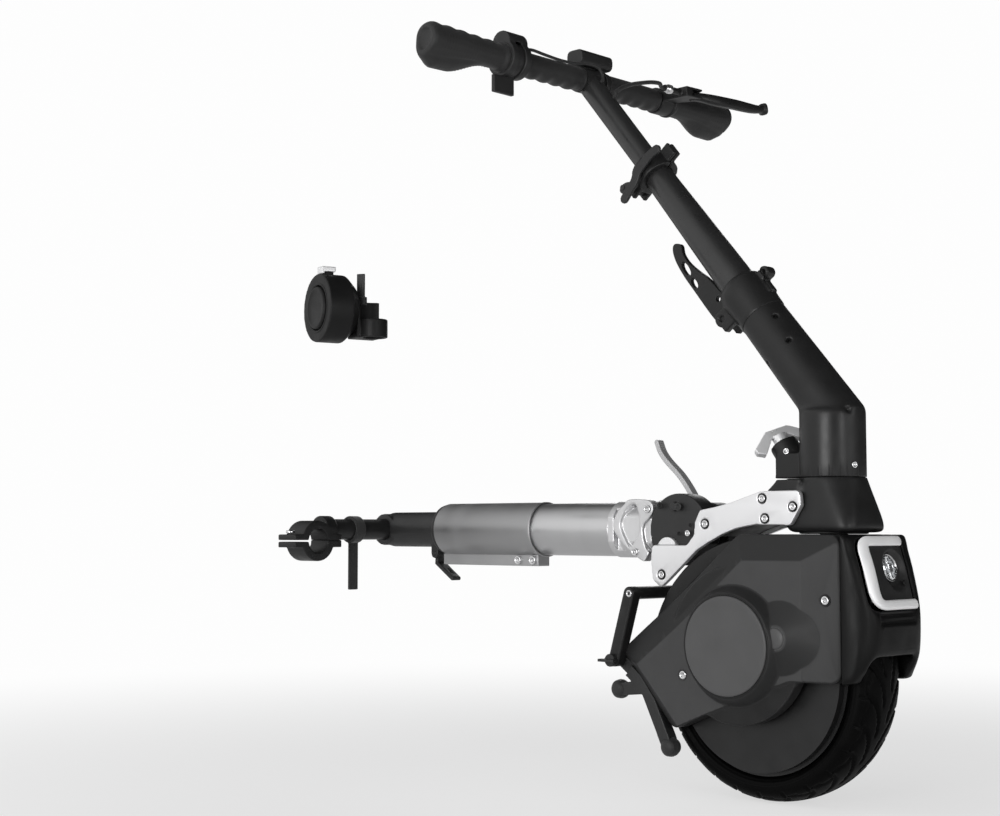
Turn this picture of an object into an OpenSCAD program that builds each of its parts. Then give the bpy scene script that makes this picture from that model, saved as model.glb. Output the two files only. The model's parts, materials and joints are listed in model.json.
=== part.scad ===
// Front-wheel power assist that docks under a wheelchair's frame.
// X points forward, Y left and Z up, in millimetres. The origin is on the
// ground under the drive-wheel axle, with the unit straight ahead.

/* [Drive wheel] */
// tyre outer radius
tyre_r = 134; // [110:1:160]
// tyre section width
tyre_w = 70; // [55:1:90]
// radius where the tyre sits on the rim
bead_r = 106; // [85:1:120]
// rim width across its two side faces
rim_w = 60; // [46:1:80]
// outer radius of the flat hub covers
hub_cover_r = 102; // [80:1:116]
// hub cover height outside the rim's side face
hub_cover_h = 9; // [6:1:16]
// axle radius
axle_r = 8; // [6:0.5:12]
// motor stator radius
stator_r = 80; // [60:1:88]
// motor stator width
stator_w = 34; // [20:1:46]

/* [Casing] */
// casing width over the two side faces
casing_w = 128; // [116:1:150]
// wall of the casing shells
casing_wall = 3; // [2:0.5:4]
// gap between the tyre and the shells around it
tyre_gap = 3; // [2:0.5:8]
// roof height over the fender
roof_rise = 3; // [1:0.5:6]
// nose front face ahead of the axle
nose_x = 143; // [139:1:160]
// nose half width
nose_half_w = 58; // [52:1:64]
// joint between the side shells and the nose, ahead of the axle
parting_x = 116; // [108:1:122]
// rear corner behind the axle
pod_rear = 158; // [140:1:165]
// rear corner height over the axle
pod_rear_h = 17; // [4:1:24]
// lowest rear corner behind the axle
pod_low = 93; // [80:1:105]
// lowest rear corner below the axle
pod_drop = 64; // [50:1:72]
// floor of the front half below the axle
floor_drop = 4; // [0:1:12]
// drum centre behind the axle
drum_back = 9; // [0:1:16]
// drum centre height over the axle
drum_rise = 29; // [20:1:36]
// drum radius beside the wheel
drum_r = 82; // [70:1:88]
// radius at the foot of the cap's skirt
skirt_r = 64; // [58:1:70]
// badge cap radius
badge_r = 52; // [40:1:56]
// how far the cap stands out of the side face
badge_out = 16; // [8:1:24]

/* [Steering head] */
// steering axis ahead of the axle
steer_x = 72; // [60:1:84]
// gap between the casing roof and the neck base
turn_gap = 5; // [3:0.5:10]
// neck base height
base_h = 53; // [44:1:64]
// neck base half length at its foot
base_l = 44; // [38:1:50]
// neck base half width at its foot
base_half_w = 38; // [34:1:44]
// neck radius
neck_r = 34; // [28:1:38]
// neck height from the base to the bend
neck_h = 70; // [60:1:90]
// steerer tube radius
steerer_r = 14; // [11:0.5:18]
// fork arm thickness
arm_t = 8; // [5:0.5:10]

/* [Column] */
// lean of the column back from upright, degrees
lean = 39.5; // [30:0.5:50]
// neck tube radius at the bend
neck_bend_r = 28.5; // [26:0.5:32]
// neck tube radius at the collar
neck_tube_r = 25.5; // [24:0.5:30]
// neck tube length above the bend
neck_tube_l = 141; // [110:1:160]
// split collar height
collar_h = 33; // [32:1:54]
// split collar radius
collar_r = 29; // [27:0.5:34]
// middle tube radius
mid_r = 20; // [18:0.5:22]
// middle tube radius at its top
mid_top_r = 16.5; // [16:0.25:18]
// middle tube top, along the column from the bend
mid_top = 367; // [320:1:400]
// stem tube radius
stem_r = 14; // [11:0.5:14]
// handlebar centre, along the column from the bend
bar_s = 526; // [480:1:560]
// wall of the column tubes
column_wall = 2.5; // [2:0.25:3]

/* [Handlebar] */
// handlebar length over the grips
bar_l = 526; // [460:1:620]
// handlebar tube radius
bar_r = 11; // [9:0.25:13]
// grip length
grip_l = 116; // [95:1:125]
// grip radius at its outer end
grip_end_r = 20.5; // [16:0.5:24]
// grip radius at its inner end
grip_r = 16.5; // [14:0.5:19]
// throttle housing radius
throttle_r = 21; // [18:0.5:26]
// gap between the brake bracket and the left grip
brake_gap = 1; // [0:0.5:16]

/* [Dock tube] */
// hinge axis behind the steering axis
head_l = 173; // [166:1:186]
// hinge disc radius
disc_r = 39; // [35:0.5:41]
// outer face of the side plates from the middle
plate_y = 45; // [42:0.5:50]
// side plate thickness
plate_t = 7; // [5:0.5:9]
// outer tube radius
tube_r = 31; // [28:0.5:35]
// wall of the two dock tubes
tube_wall = 2.5; // [2:0.25:4]
// front end of the outer tube behind the hinge
tube_front = 228; // [200:1:240]
// outer tube length
tube_l = 164; // [140:1:220]
// inner tube front end behind the hinge
inner_front = 108; // [96:1:120]
// inner tube length
inner_l = 250; // [200:1:262]
// sleeve radius
sleeve_r = 22; // [20:0.5:26]
// sleeve length from the tube to the cross bar's axis
sleeve_l = 106; // [85:1:140]

/* [Frame clamps] */
// cross bar radius
cross_r = 13; // [10:0.5:15]
// distance of each clamp's axis from the middle
clamp_y = 142; // [120:1:200]
// clamp axis below the cross bar's axis
clamp_drop = 14; // [8:1:18]
// radius of the chair's frame tube
clamp_bore_r = 15; // [12:0.5:16]
// clamp wall round the tube
clamp_wall = 10; // [7:0.5:12]
// clamp length along the tube
clamp_l = 34; // [28:1:44]

/* [Remote] */
// remote puck radius
remote_r = 41; // [34:0.5:46]
// remote puck depth
remote_d = 30; // [24:1:40]
// remote button radius
button_r = 27; // [20:0.5:30]
// radius of the chair tube that the bracket holds
rail_bore_r = 13; // [10:0.5:16]

/* [Hidden] */
$fn = 48;
// cuts run past the faces that they open
overrun = 1;
// radial clearance of running fits
run_gap = 0.08;
// space between pieces that move past each other
part_gap = 0.3;
// steps of a rounded corner
corner_steps = 5;
// steps of a round end
cap_steps = 12;
half_share = 0.5;
// hexagon sockets, as a share of the shank radius
socket_share = 0.7;

// wheel
tyre_shoulder = 18;
tyre_side = 8;
tyre_round = 13;
rim_t = 6;
rim_flange = 5;
bearing_r = 15;
bearing_w = 8;
cover_t = 3;
nut_r = 13;
nut_h = 7;
// casing
roof_back = 8;
lobe_back = 46;
lobe_drop = 44;
floor_front = 58;
casing_round = 12;
roof_t = 3;
liner_t = 2.5;
liner_in = 16;
drum_t = 16;
drum_in = 2;
skirt_step = 2;
skirt_in = 5;
bevel_h = 27;
bevel_w = 8;
bevel_low = 10;
panel_x = 74;
hump_r = 50;
hump_top_r = 16;
hump_h = 6;
hump_cap_r = 10;
hump_at = [49, 39];
badge_t = 2;
screw_r = 2.5;
screw_head_r = 4.5;
screw_head_h = 2;
boss_r = 7;
boss_l = 12;
rear_screw = [-76, -5];
front_screw = [100, 78];
nose_round = 22;
arch_h = 26;
arch_round = 9;
// side profile of the nose, as shares of its depth and of its height
nose_shares = [[-1, 1], [0.48, 1], [0.56, 0.97], [1, 0.42], [0.94, 0.2], [0.8, 0.07], [0.45, 0], [-1, 0]];
nose_corner = 4;
// lamp
lamp_y = -4;
lamp_w = 82;
lamp_h = 70;
bezel_w = 10;
bezel_t = 4;
bezel_round = 10;
lamp_depth = 15;
lamp_cup = 4;
lamp_screw_y = 26;
lamp_screw_z = -9;
lamp_off = [11, 6];
lamp_place_share = 0.58;
bezel_out = 1.5;
bezel_end = 7;
reflector_r = 18;
lens_r = 11;
lens_t = 3;
lamp_set = 2;
// fork
arm_y = 44;
arm_r = 17;
arm_w = 13;
crown_l = 27;
crown_h = 22;
// battery
cell_t = 12;
cell_l = 28;
cell_h = 60;
cell_gap = 2;
// head
base_round = 16;
base_foot_h = 6;
bearing_h = 10;
cup_r = 21;
steerer_wall = 3;
steerer_top = 60;
bolt_r = 3;
bolt_head_r = 5.5;
bolt_head_h = 3;
// side plate outline from the hinge, as shares of its reach and of its rise
plate_reach = 165;
plate_rise = 40;
plate_shares = [[0.98, 1], [0.99, 0.6], [0.91, 0.1], [0.65, 0.13], [0.5, 0.03], [0.39, -0.12],
    [0.27, -0.35], [0.18, -0.55], [0.08, -0.9], [-0.05, -1.35], [-0.12, -1.57], [-0.185, -1.35],
    [-0.2, -0.8], [-0.19, -0.42],
    [0.1, -0.42], [0.16, -0.15], [0.17, 0.2], [0.21, 0.52], [0.31, 0.58], [0.45, 0.7], [0.69, 0.99]];
core_shares = [[0.96, 1.28], [0.93, 0.16], [0.65, 0.2], [0.5, 0.12], [0.39, -0.02], [0.29, -0.2],
    [0.265, 0.1],
    [0.27, 0.42], [0.45, 0.62], [0.69, 0.93], [0.78, 1.28]];
bolt_shares = [[0.25, 0.15], [-0.11, -1.22], [0.7, 0.8], [0.72, 0.28], [0.93, 0.58]];
plate_round = 5;
latch_r = 14;
latch_t = 8;
latch_shares = [-0.08, -0.55];
knuckle_r = 5;
knuckle_shares = [-0.02, 0.62];
// hinge
tongue_y = 12;
tongue_r = 21;
tongue_neck = 13;
pin_r = 8;
disc_in = 13;
disc_clear = 8;
far_disc_r = 30;
pin_cover = 4;
// end fork
fork_body = 66;
fork_r = 31.5;
fork_gap = 1.5;
spigot_l = 26;
window_w = 9;
window_h = 46;
window_in = 8;
fork_bolt_shares = [[0.78, 0.62], [0.66, -0.66]];
fork_shares = [[0, 1], [0.16, 1], [1, 0.98], [0.96, -1.1], [0.55, -1], [0, -1]];
cheek_y = 30;
// release lever
release_t = 4;
release_w = 11;
release_eye_r = 7;
release_pin_r = 3;
release_rise = 29;
release_back = 3;
release_run = [[-13, 30], [-28, 44], [-51, 70]];
// rail and hook
rail_w = 20;
rail_h = 14;
rail_back = 4;
rail_slit = 2;
rail_end = 10;
rail_screws_x = [14, 38];
bead_h = 1.5;
bead_w = 6;
sleeve_plug = 14;
eye_r = 20;
eye_w = 40;
hook_x = 20;
hook_drop = 8;
hook_w = 14;
hook_t = 5;
hook_pin_r = 2.5;
hook_eye_r = 6;
hook_run = [[-1, -12], [27, -31]];
hook_slot = 4;
hook_lug = 4;
tab_y = 72;
tab_w = 14;
tab_t = 4;
tab_l = 76;
tab_wall = 4;
// frame clamps
clamp_ear = 12;
clamp_ear_t = 8;
clamp_split = 2;
socket_wall = 4;
socket_in = 6;
cap_bolt_r = 3;
cap_head_r = 5;
cap_head_h = 5;
// column
collar_lug_r = 9;
collar_lug_w = 24;
collar_slit = 2;
lever_pin_r = 3;
mid_in = 140;
mid_drop = 20;
stem_in = 110;
neck_lap = 20;
mid_straight = 24;
clamp_r = 24;
clamp_h = 22;
clamp_lug = 12;
cam_l = 118;
cam_w = 18;
cam_t = 7;
cam_tip = 10;
cam_rise = 22;
cam_slot_shares = [0.4, 0.7];
// bends of the lever, as shares of its tip offset and of its length
cam_shares = [[-1, 0.33], [-1.1, 0.66], [-0.5, 1]];
quick_run = [[-9, -3], [-17, -1]];
quick_t = 4;
quick_w = 12;
// knob
knob_boss_r = 15;
knob_boss_l = 27;
knob_tilt = 35;
knob_turn = 56;
knob_rise = 15;
knob_back = 46;
knob_block_l = 62;
knob_block_h = 26;
knob_stem_r = 8;
knob_stem_l = 10;
knob_span = 33;
knob_wing_t = 8;
knob_wing_h = 8;
knob_droop = 12;
knob_tip = 5;
knob_dip_share = 0.75;
// handlebar pieces
grip_cap = 6;
grip_flange = 2;
throttle_w = 30;
throttle_in = 2;
hood_r = 14;
hood_rise = 17;
paddle_side = 12;
paddle_r = 21;
paddle_w = 32;
paddle_h = 20;
paddle_t = 5;
paddle_neck = 5;
console_w = 55;
console_d = 24;
console_h = 18;
console_ring_share = 0.38;
console_foot_share = 0.12;
console_y = 4;
console_ring = 4;
console_rise = 5;
console_round = 6;
bracket_w = 23;
bracket_ring = 5;
bracket_reach = 40;
bracket_t = 12;
barrel_r = 4;
barrel_l = 30;
lever_pivot = [42, 22];
lever_tip = [74, 128];
lever_elbow = [60, 52];
lever_w = 12;
lever_t = 8;
lever_gap = 0.5;
lever_cheek = 3;
lever_rise = 3;
pad_r = 14;
// rear frame and feet
frame_y = 55;
frame_r = 6;
frame_t = 12;
frame_bar_r = 5.7;
frame_pivot = [-169, 6];
frame_top = [-147, 79];
foot_r = 10.5;
foot_a = [-170, -26];
foot_b = [-101, -83];
foot_bar = 7;
foot_mid = [-131, -22];
foot_t = 14;
foot_y = 46;
wing_r = 4;
wing_l = 14;
wing_span = 11;
wing_t = 3;
// remote
remote_x = -518;
remote_y = -200;
remote_z = 546;
remote_turn = 16;
remote_lip = 5;
remote_neck_r = 30;
remote_neck = 12;
button_h = 7;
button_out = 1.5;
button_gap = 0.4;
rail_band = 4;
rail_band_h = 22;
rail_arm = 34;
rail_arm_t = 10;
rail_drop = 24;
rail_side = 24;
clip_w = 14;
clip_t = 4;
clip_l = 16;
flip_w = 10;
flip_t = 3;
flip_l = 40;
// cables
cable_r = 2.5;
wire_r = 1.8;
cable_sides = 8;
// routes ahead of and above the handlebar's middle, at shares of the way out to the brake and the throttle
cable_run = [[44, 5], [48, 2], [49, -3], [49, -8], [47, -14], [44, -20]];
cable_y_shares = [0.65, 0.49, 0.32, 0.18, 0.065, 0];
wire_run = [[12, 14], [14, 12], [16, 10], [17, 11], [19, 14], [24, 11], [27, 3]];
wire_y_shares = [0.92, 0.77, 0.555, 0.34, 0.19, 0.077, 0.043];
cable_down = 46;
wire_down = 18;
wire_start = [8, 14];
cord_gap = 0.2;

// places worked out from the sizes above
axle_z = tyre_r;
well_r = tyre_r + tyre_gap;
dome_r = well_r + casing_wall;
roof_z = axle_z + dome_r + roof_rise;
base_z = roof_z + turn_gap;
neck_z = base_z + base_h;
bend_z = neck_z + neck_h;
well_y = tyre_w / 2 + tyre_gap + liner_t;
pod_y = casing_w / 2;
crown_z = roof_z - roof_t;
throttle_y = bar_l / 2 - grip_l;
brake_y = throttle_y - bracket_w - brake_gap;
drum_z = axle_z + drum_rise;
hinge_x = steer_x - head_l;
hinge_z = base_z;
bar_x = steer_x - bar_s * sin(lean);
bar_z = bend_z + bar_s * cos(lean);
tee_r = stem_r + overrun;
tube_x = hinge_x - tube_front;
sleeve_x = tube_x - tube_l;
cross_x = sleeve_x - sleeve_l;
plate_in = plate_y - plate_t;
pin_end = plate_in - pin_cover - run_gap;

// outline helpers

function unit(v) = v / norm(v);
function turn(a) = a > 180 ? a - 360 : a < -180 ? a + 360 : a;
// points of a corner at b, rounded by r
function corner(a, b, c, r) =
    let (u = unit(a - b), w = unit(c - b), h = acos(max(-1, min(1, u * w))) / 2,
        t = min(r / tan(h), half_share * norm(a - b), half_share * norm(c - b)), q = t * tan(h),
        o = b + unit(u + w) * q / sin(h), s = b + u * t - o, e = b + w * t - o,
        a0 = atan2(s.y, s.x), d = turn(atan2(e.y, e.x) - a0))
    [for (k = [0:corner_steps]) o + q * [cos(a0 + d * k / corner_steps), sin(a0 + d * k / corner_steps)]];
// a closed outline with every corner rounded by r
function rounded(p, r) = let (n = len(p))
    [for (i = [0:n - 1]) each corner(p[(i + n - 1) % n], p[i], p[(i + 1) % n], r)];
// an anticlockwise outline drawn in by d
function inset(p, d) = let (n = len(p))
    [for (i = [0:n - 1]) let (a = unit(p[i] - p[(i + n - 1) % n]), b = unit(p[(i + 1) % n] - p[i]),
        m = [-a.y, a.x], q = [-b.y, b.x]) p[i] + (m + q) * d / (1 + m * q)];
// half a circle about c, from angle a on
function half_round(c, r, a) = [for (k = [0:cap_steps]) let (t = a + 180 * k / cap_steps)
    c + r * [cos(t), sin(t)]];
// one outline round a bent line, r wide on each side, with round ends
function ribbon(p, r) = let (m = len(p) - 1, d = [for (i = [0:m - 1]) unit(p[i + 1] - p[i])],
    n = [for (v = d) [-v.y, v.x]], w = [for (i = [1:1:m - 1]) r * (n[i - 1] + n[i]) / (1 + n[i - 1] * n[i])],
    s = atan2(d[0].y, d[0].x), e = atan2(d[m - 1].y, d[m - 1].x))
    concat(half_round(p[m], r, e - 90), [for (i = [m - 1:-1:1]) p[i] + w[i - 1]],
        half_round(p[0], r, s + 90), [for (i = [1:1:m - 1]) p[i] - w[i - 1]]);
function rect(a, b) = [a, [b.x, a.y], b, [a.x, b.y]];

// frames

// an X-Z outline, drawn as x and y, from y0 to y1
module side(y0, y1) { translate([0, y1, 0]) rotate([90, 0, 0]) linear_extrude(y1 - y0) children(); }
// a Y-Z outline, drawn as x and y, from x0 to x1
module front(x0, x1) { translate([x0, 0, 0]) rotate([90, 0, 90]) linear_extrude(x1 - x0) children(); }
module rod_y(r, y0, y1) { translate([0, y0, 0]) rotate([-90, 0, 0]) cylinder(r = r, h = y1 - y0); }
module rod_x(r, x0, x1) { translate([x0, 0, 0]) rotate([0, 90, 0]) cylinder(r = r, h = x1 - x0); }
module both() { children(); mirror([0, 1, 0]) children(); }
module at_axle() { translate([0, 0, axle_z]) children(); }
module at_hinge() { translate([hinge_x, 0, hinge_z]) children(); }
module at_steer(z) { translate([steer_x, 0, z]) children(); }
// along the column, s from the bend, with local X forward
module at_column(s) { translate([steer_x, 0, bend_z]) rotate([0, -lean, 0]) translate([0, 0, s]) children(); }
module at_bar() { translate([bar_x, 0, bar_z]) children(); }
module at_tube() { translate([0, 0, hinge_z]) children(); }
module at_cross() { translate([cross_x, 0, hinge_z]) children(); }
// the remote's face, with local Z out of it
module at_remote() { translate([remote_x, remote_y, remote_z]) rotate([90, 0, -remote_turn]) children(); }
module link(a, b, r) { polygon(ribbon([a, b], r)); }
module strip(p, r) { polygon(ribbon(p, r)); }

// wheel

tyre_outline = let (w = tyre_w / 2, b = rim_w / 2 - rim_flange)
    rounded([[bead_r, -b], [bead_r + tyre_side, -w],
    [tyre_r - tyre_shoulder, -w], [tyre_r, -w + tyre_shoulder], [tyre_r, w - tyre_shoulder],
    [tyre_r - tyre_shoulder, w], [bead_r + tyre_side, w], [bead_r, b]], tyre_round);
module tyre() {
    color([0.06, 0.06, 0.06]) at_axle() rotate([90, 0, 0]) rotate_extrude($fn = 96) polygon(tyre_outline);
}
module rim() {
    color([0.1, 0.1, 0.1]) at_axle() difference() {
        rod_y(bead_r - run_gap, -rim_w / 2, rim_w / 2, $fn = 96);
        rod_y(bead_r - rim_t, -rim_w / 2 - overrun, rim_w / 2 + overrun, $fn = 96);
    }
}
module hub_covers() {
    y0 = rim_w / 2;
    color([0.13, 0.13, 0.13]) at_axle() both() difference() {
        rod_y(hub_cover_r, y0, y0 + hub_cover_h, $fn = 96);
        difference() {
            rod_y(bead_r - rim_t - rim_flange, y0 - overrun, y0 + hub_cover_h - cover_t, $fn = 96);
            rod_y(bearing_r + cover_t, y0 - 2 * overrun, y0 + hub_cover_h);
        }
        rod_y(bearing_r, y0 - overrun, y0 + hub_cover_h + overrun);
    }
}
module wheel_bearings() {
    y1 = rim_w / 2 + hub_cover_h;
    color([0.6, 0.6, 0.62]) at_axle() both() difference() {
        rod_y(bearing_r, y1 - bearing_w, y1);
        rod_y(axle_r + run_gap, y1 - bearing_w - overrun, y1 + overrun);
    }
}
module axle() {
    y1 = arm_y + arm_t;
    color([0.55, 0.55, 0.57]) at_axle() union() {
        rod_y(axle_r, -y1 - nut_h, y1 + nut_h);
        both() rod_y(nut_r, y1, y1 + nut_h, $fn = 6);
    }
}
module stator() {
    color([0.5, 0.35, 0.2]) at_axle() difference() {
        rod_y(stator_r, -stator_w / 2, stator_w / 2);
        rod_y(axle_r, -stator_w, stator_w);
    }
}

// fork and steerer

module steerer() {
    z0 = crown_z;
    color([0.5, 0.5, 0.52]) at_steer(z0) difference() {
        cylinder(r = steerer_r, h = neck_z + steerer_top - z0);
        translate([0, 0, steerer_wall]) cylinder(r = steerer_r - steerer_wall, h = bend_z);
    }
}
module fork() {
    z1 = crown_z;
    color([0.16, 0.16, 0.16]) difference() {
        union() {
            translate([steer_x - crown_l, -arm_y - arm_t, z1 - crown_h])
                cube([2 * crown_l, 2 * (arm_y + arm_t), crown_h]);
            both() side(-arm_y - arm_t, -arm_y) {
                link([0, axle_z], [steer_x - crown_l + arm_w, z1 - arm_w], arm_w);
                link([0, axle_z], [steer_x, z1 - arm_w], arm_w);
                translate([0, axle_z]) circle(arm_r);
            }
        }
        at_axle() rod_y(well_r, -arm_y, arm_y, $fn = 96);
        at_axle() rod_y(axle_r, -casing_w, casing_w);
    }
}

// casing

casing_outline = let (top = roof_z, z = axle_z)
    [[parting_x, top], [-roof_back, top], [-pod_rear, z + pod_rear_h], [-pod_low, z - pod_drop],
    [-lobe_back, z - lobe_drop], [floor_front, z - floor_drop],
    [parting_x, z - floor_drop]];
module drum(r0, r1, y0, y1) {
    translate([-drum_back, -y0, drum_z]) rotate([90, 0, 0]) cylinder(r1 = r0, r2 = r1, h = y1 - y0, $fn = 64);
}
// the slanting border between two points of the outline and the side face, drawn in by d
module bevel(p, q, h, d) {
    translate([p.x, -pod_y, p.y]) rotate([0, -atan2(q.y - p.y, q.x - p.x), 0]) translate([0, 0, -h])
        rotate([atan2(h, bevel_w), 0, 0]) translate([-casing_w, -casing_w, -d])
            cube([4 * casing_w, 2 * casing_w, casing_w]);
}
// the shell's outside for d = 0, and its hollow for d = wall
module casing_solid(d) {
    o = casing_outline;
    difference() {
        side(-pod_y + d, -well_y + (d > 0 ? overrun : 0))
            polygon(rounded(d > 0 ? inset(o, d) : o, casing_round - d));
        bevel(o[1], o[0], bevel_h, d);
        bevel(o[2], o[1], bevel_h, d);
        bevel(o[3], o[2], bevel_low, d);
        translate([panel_x, -pod_y, 0]) rotate([0, 0, atan2(pod_y - nose_half_w, parting_x - panel_x)])
            translate([0, d - casing_w, 0]) cube([casing_w, casing_w, bend_z]);
    }
}
// one side shell, drawn on the right
module casing_half() {
    w = casing_wall;
    y2 = pod_y + badge_out - badge_t;
    difference() {
        union() {
            casing_solid(0);
            drum(drum_r, drum_r, pod_y - drum_t - drum_in, pod_y - drum_in);
            drum(skirt_r, badge_r + skirt_step, pod_y - skirt_in, y2);
            translate([hump_at.x, -pod_y + skirt_in, axle_z + hump_at.y]) rotate([90, 0, 0])
                cylinder(r1 = hump_r, r2 = hump_top_r, h = hump_h + skirt_in);
            translate([-roof_back, -well_y - overrun, crown_z])
                cube([parting_x + roof_back, well_y + overrun, roof_t]);
            translate([-roof_back, -well_y - overrun, crown_z - overrun])
                cube([2 * roof_back, well_y + overrun, roof_t]);
            intersection() {
                at_axle() rod_y(dome_r, -well_y, 0, $fn = 96);
                translate([-dome_r, -well_y, axle_z + pod_rear_h]) cube([dome_r, well_y, dome_r]);
            }
        }
        at_axle() rod_y(well_r, -well_y + liner_t, well_y, $fn = 96);
        at_axle() rod_y(well_r - liner_in, -well_y - overrun, well_y, $fn = 96);
        casing_solid(w);
        drum(drum_r - w, drum_r - w, 0, pod_y - w - drum_in);
        drum(skirt_r - w, badge_r + skirt_step - w, pod_y - 2 * w - skirt_in, y2 - w);
        at_steer(0) cylinder(r = steerer_r, h = bend_z);
        translate([hump_at.x, -pod_y - hump_h, axle_z + hump_at.y]) rotate([90, 0, 0])
            cylinder(r = hump_cap_r, h = casing_w);
        for (p = [rear_screw, front_screw]) screw_at(p) {
            rod_y(screw_r, -pod_y - overrun, 0);
            rod_y(screw_head_r, -pod_y - overrun, screw_face(p) + screw_head_h);
        }
    }
    // screw bosses
    for (p = [rear_screw, front_screw]) screw_at(p) difference() {
        rod_y(boss_r, screw_face(p) + screw_head_h, screw_face(p) + boss_l);
        rod_y(screw_r, -pod_y, 0);
    }
}
// the side face's place under a screw
function screw_face(p) = -pod_y + max(0, p.x - panel_x) * (pod_y - nose_half_w) / (parting_x - panel_x);
module screw_at(p) { translate([p.x, 0, axle_z + p.y]) children(); }
module right_casing() { color([0.14, 0.14, 0.14]) casing_half(); }
module left_casing() { color([0.14, 0.14, 0.14]) mirror([0, 1, 0]) casing_half(); }
module badge_caps() {
    color([0.24, 0.24, 0.24]) both() {
        drum(badge_r, badge_r, pod_y + badge_out - badge_t, pod_y + badge_out);
        translate([hump_at.x, -pod_y - hump_h, axle_z + hump_at.y]) rotate([90, 0, 0])
            cylinder(r = hump_cap_r, h = badge_t / 2);
    }
}
module casing_screws() {
    color([0.8, 0.8, 0.8]) both() for (p = [rear_screw, front_screw]) screw_at(p) {
        rod_y(screw_r, screw_face(p) + screw_head_h, screw_face(p) + boss_l);
        difference() {
            rod_y(screw_head_r, screw_face(p), screw_face(p) + screw_head_h);
            rod_y(screw_r * socket_share, screw_face(p) - overrun, screw_face(p) + screw_head_h / 2, $fn = 6);
        }
    }
}
nose_d = nose_x - parting_x;
nose_h = roof_z - axle_z + floor_drop;
// lean of the nose's upper face
lamp_lean = let (a = nose_shares[2], b = nose_shares[3]) atan2((b.x - a.x) * nose_d, (a.y - b.y) * nose_h);
lamp_share = nose_shares[3] + (nose_shares[2] - nose_shares[3]) * lamp_place_share;
module nose_body(d) {
    z0 = axle_z - floor_drop;
    plan = rect([parting_x - nose_d, -nose_half_w], [nose_x, nose_half_w]);
    prof = [for (i = [len(nose_shares) - 1:-1:0]) let (q = nose_shares[i])
        [parting_x + q.x * nose_d, z0 + q.y * nose_h]];
    intersection() {
        linear_extrude(bend_z) polygon(rounded(inset(plan, d), nose_round - d));
        side(-pod_y, pod_y) polygon(rounded(inset(prof, d), nose_corner));
    }
}
module nose_cover() {
    color([0.12, 0.12, 0.12]) difference() {
        intersection() {
            nose_body(0);
            translate([parting_x, -casing_w, 0]) cube([nose_x, 2 * casing_w, bend_z]);
        }
        translate([-casing_wall, 0, 0]) nose_body(casing_wall);
        at_axle() rod_y(well_r, -well_y, well_y, $fn = 96);
        front(parting_x - overrun, nose_x + overrun) polygon(rounded(rect([-well_y, -overrun],
            [well_y, axle_z - floor_drop + arch_h]), arch_round));
        at_lamp() front(-nose_d, nose_d) polygon(lamp_outline);
    }
}

// headlight, in a frame on the nose's leaning face with local X out of it

module at_lamp() {
    translate([parting_x + lamp_share.x * nose_d, lamp_y, axle_z - floor_drop + lamp_share.y * nose_h])
        rotate([0, -lamp_lean, 0]) children();
}
lamp_outline = rounded(rect([-lamp_w / 2, -lamp_h / 2], [lamp_w / 2, lamp_h / 2]), bezel_round);
module lamp_bezel() {
    color([0.75, 0.75, 0.76]) at_lamp() difference() {
        front(-bezel_t, bezel_out) polygon(lamp_outline);
        front(-2 * bezel_t, bezel_t) polygon(rounded(rect([-lamp_w / 2 + bezel_w, -lamp_h / 2 + bezel_w],
            [lamp_w, lamp_h / 2 - bezel_w]), bezel_round - bezel_w / 2));
        front(-2 * bezel_t, bezel_t) polygon(rect([lamp_w / 2 - bezel_end, -bezel_w],
            [lamp_w, lamp_h]));
    }
}
module lamp_housing() {
    color([0.07, 0.07, 0.07]) at_lamp() difference() {
        union() {
            front(-lamp_depth, -bezel_t) polygon(lamp_outline);
            front(-bezel_t - overrun, -lamp_set)
                polygon(rounded(rect([bezel_w - lamp_w / 2, bezel_w - lamp_h / 2],
                [lamp_w / 2, lamp_h / 2 - bezel_w]), bezel_round - bezel_w / 2));
        }
        translate([-lamp_set - lamp_cup, lamp_off.x, lamp_off.y]) rotate([0, 90, 0])
            cylinder(r1 = lens_r, r2 = reflector_r, h = lamp_cup + overrun / 4);
        translate([0, lamp_off.x, lamp_off.y]) rod_x(lens_r, -lamp_set - lamp_cup - lens_t, 0);
        for (y = [-1, 1]) translate([0, y * lamp_screw_y, lamp_screw_z]) rod_x(bolt_r, -2 * lamp_cup, 0);
    }
}
module lamp_lens() {
    x0 = -lamp_set - lamp_cup - lens_t;
    color([0.85, 0.88, 0.9]) at_lamp() translate([0, lamp_off.x, lamp_off.y]) rod_x(lens_r, x0, x0 + lens_t);
}

// battery, rear frame and feet

module battery_packs() {
    color([0.1, 0.2, 0.35]) both() translate([parting_x - casing_wall - casing_round - cell_l,
        -well_y - cell_gap - cell_t, axle_z - floor_drop + casing_wall]) cube([cell_l, cell_t, cell_h]);
}
module foot_brackets() {
    color([0.1, 0.1, 0.1]) both() translate([0, 0, axle_z]) difference() {
        union() {
            side(-foot_y - foot_t, -foot_y) {
                link(frame_pivot, foot_mid, foot_bar);
                link(foot_mid, foot_b, foot_bar);
                link(foot_mid, foot_a, foot_bar);
            }
        }
        side(-casing_w, casing_w) translate([0, -axle_z]) polygon(rounded(casing_outline, casing_round));
        translate([frame_pivot.x, 0, frame_pivot.y]) {
            rod_y(foot_bar + frame_t, -frame_y - frame_t, -frame_y + part_gap);
            rod_y(wing_r, -casing_w, 0);
        }
        for (f = [foot_a, foot_b]) translate([f.x, -foot_y - foot_t / 2, f.y]) sphere(foot_r);
    }
}
module feet() {
    color([0.04, 0.04, 0.04]) both() for (f = [foot_a, foot_b])
        translate([f.x, -foot_y - foot_t / 2, axle_z + f.y]) sphere(foot_r);
}
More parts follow.
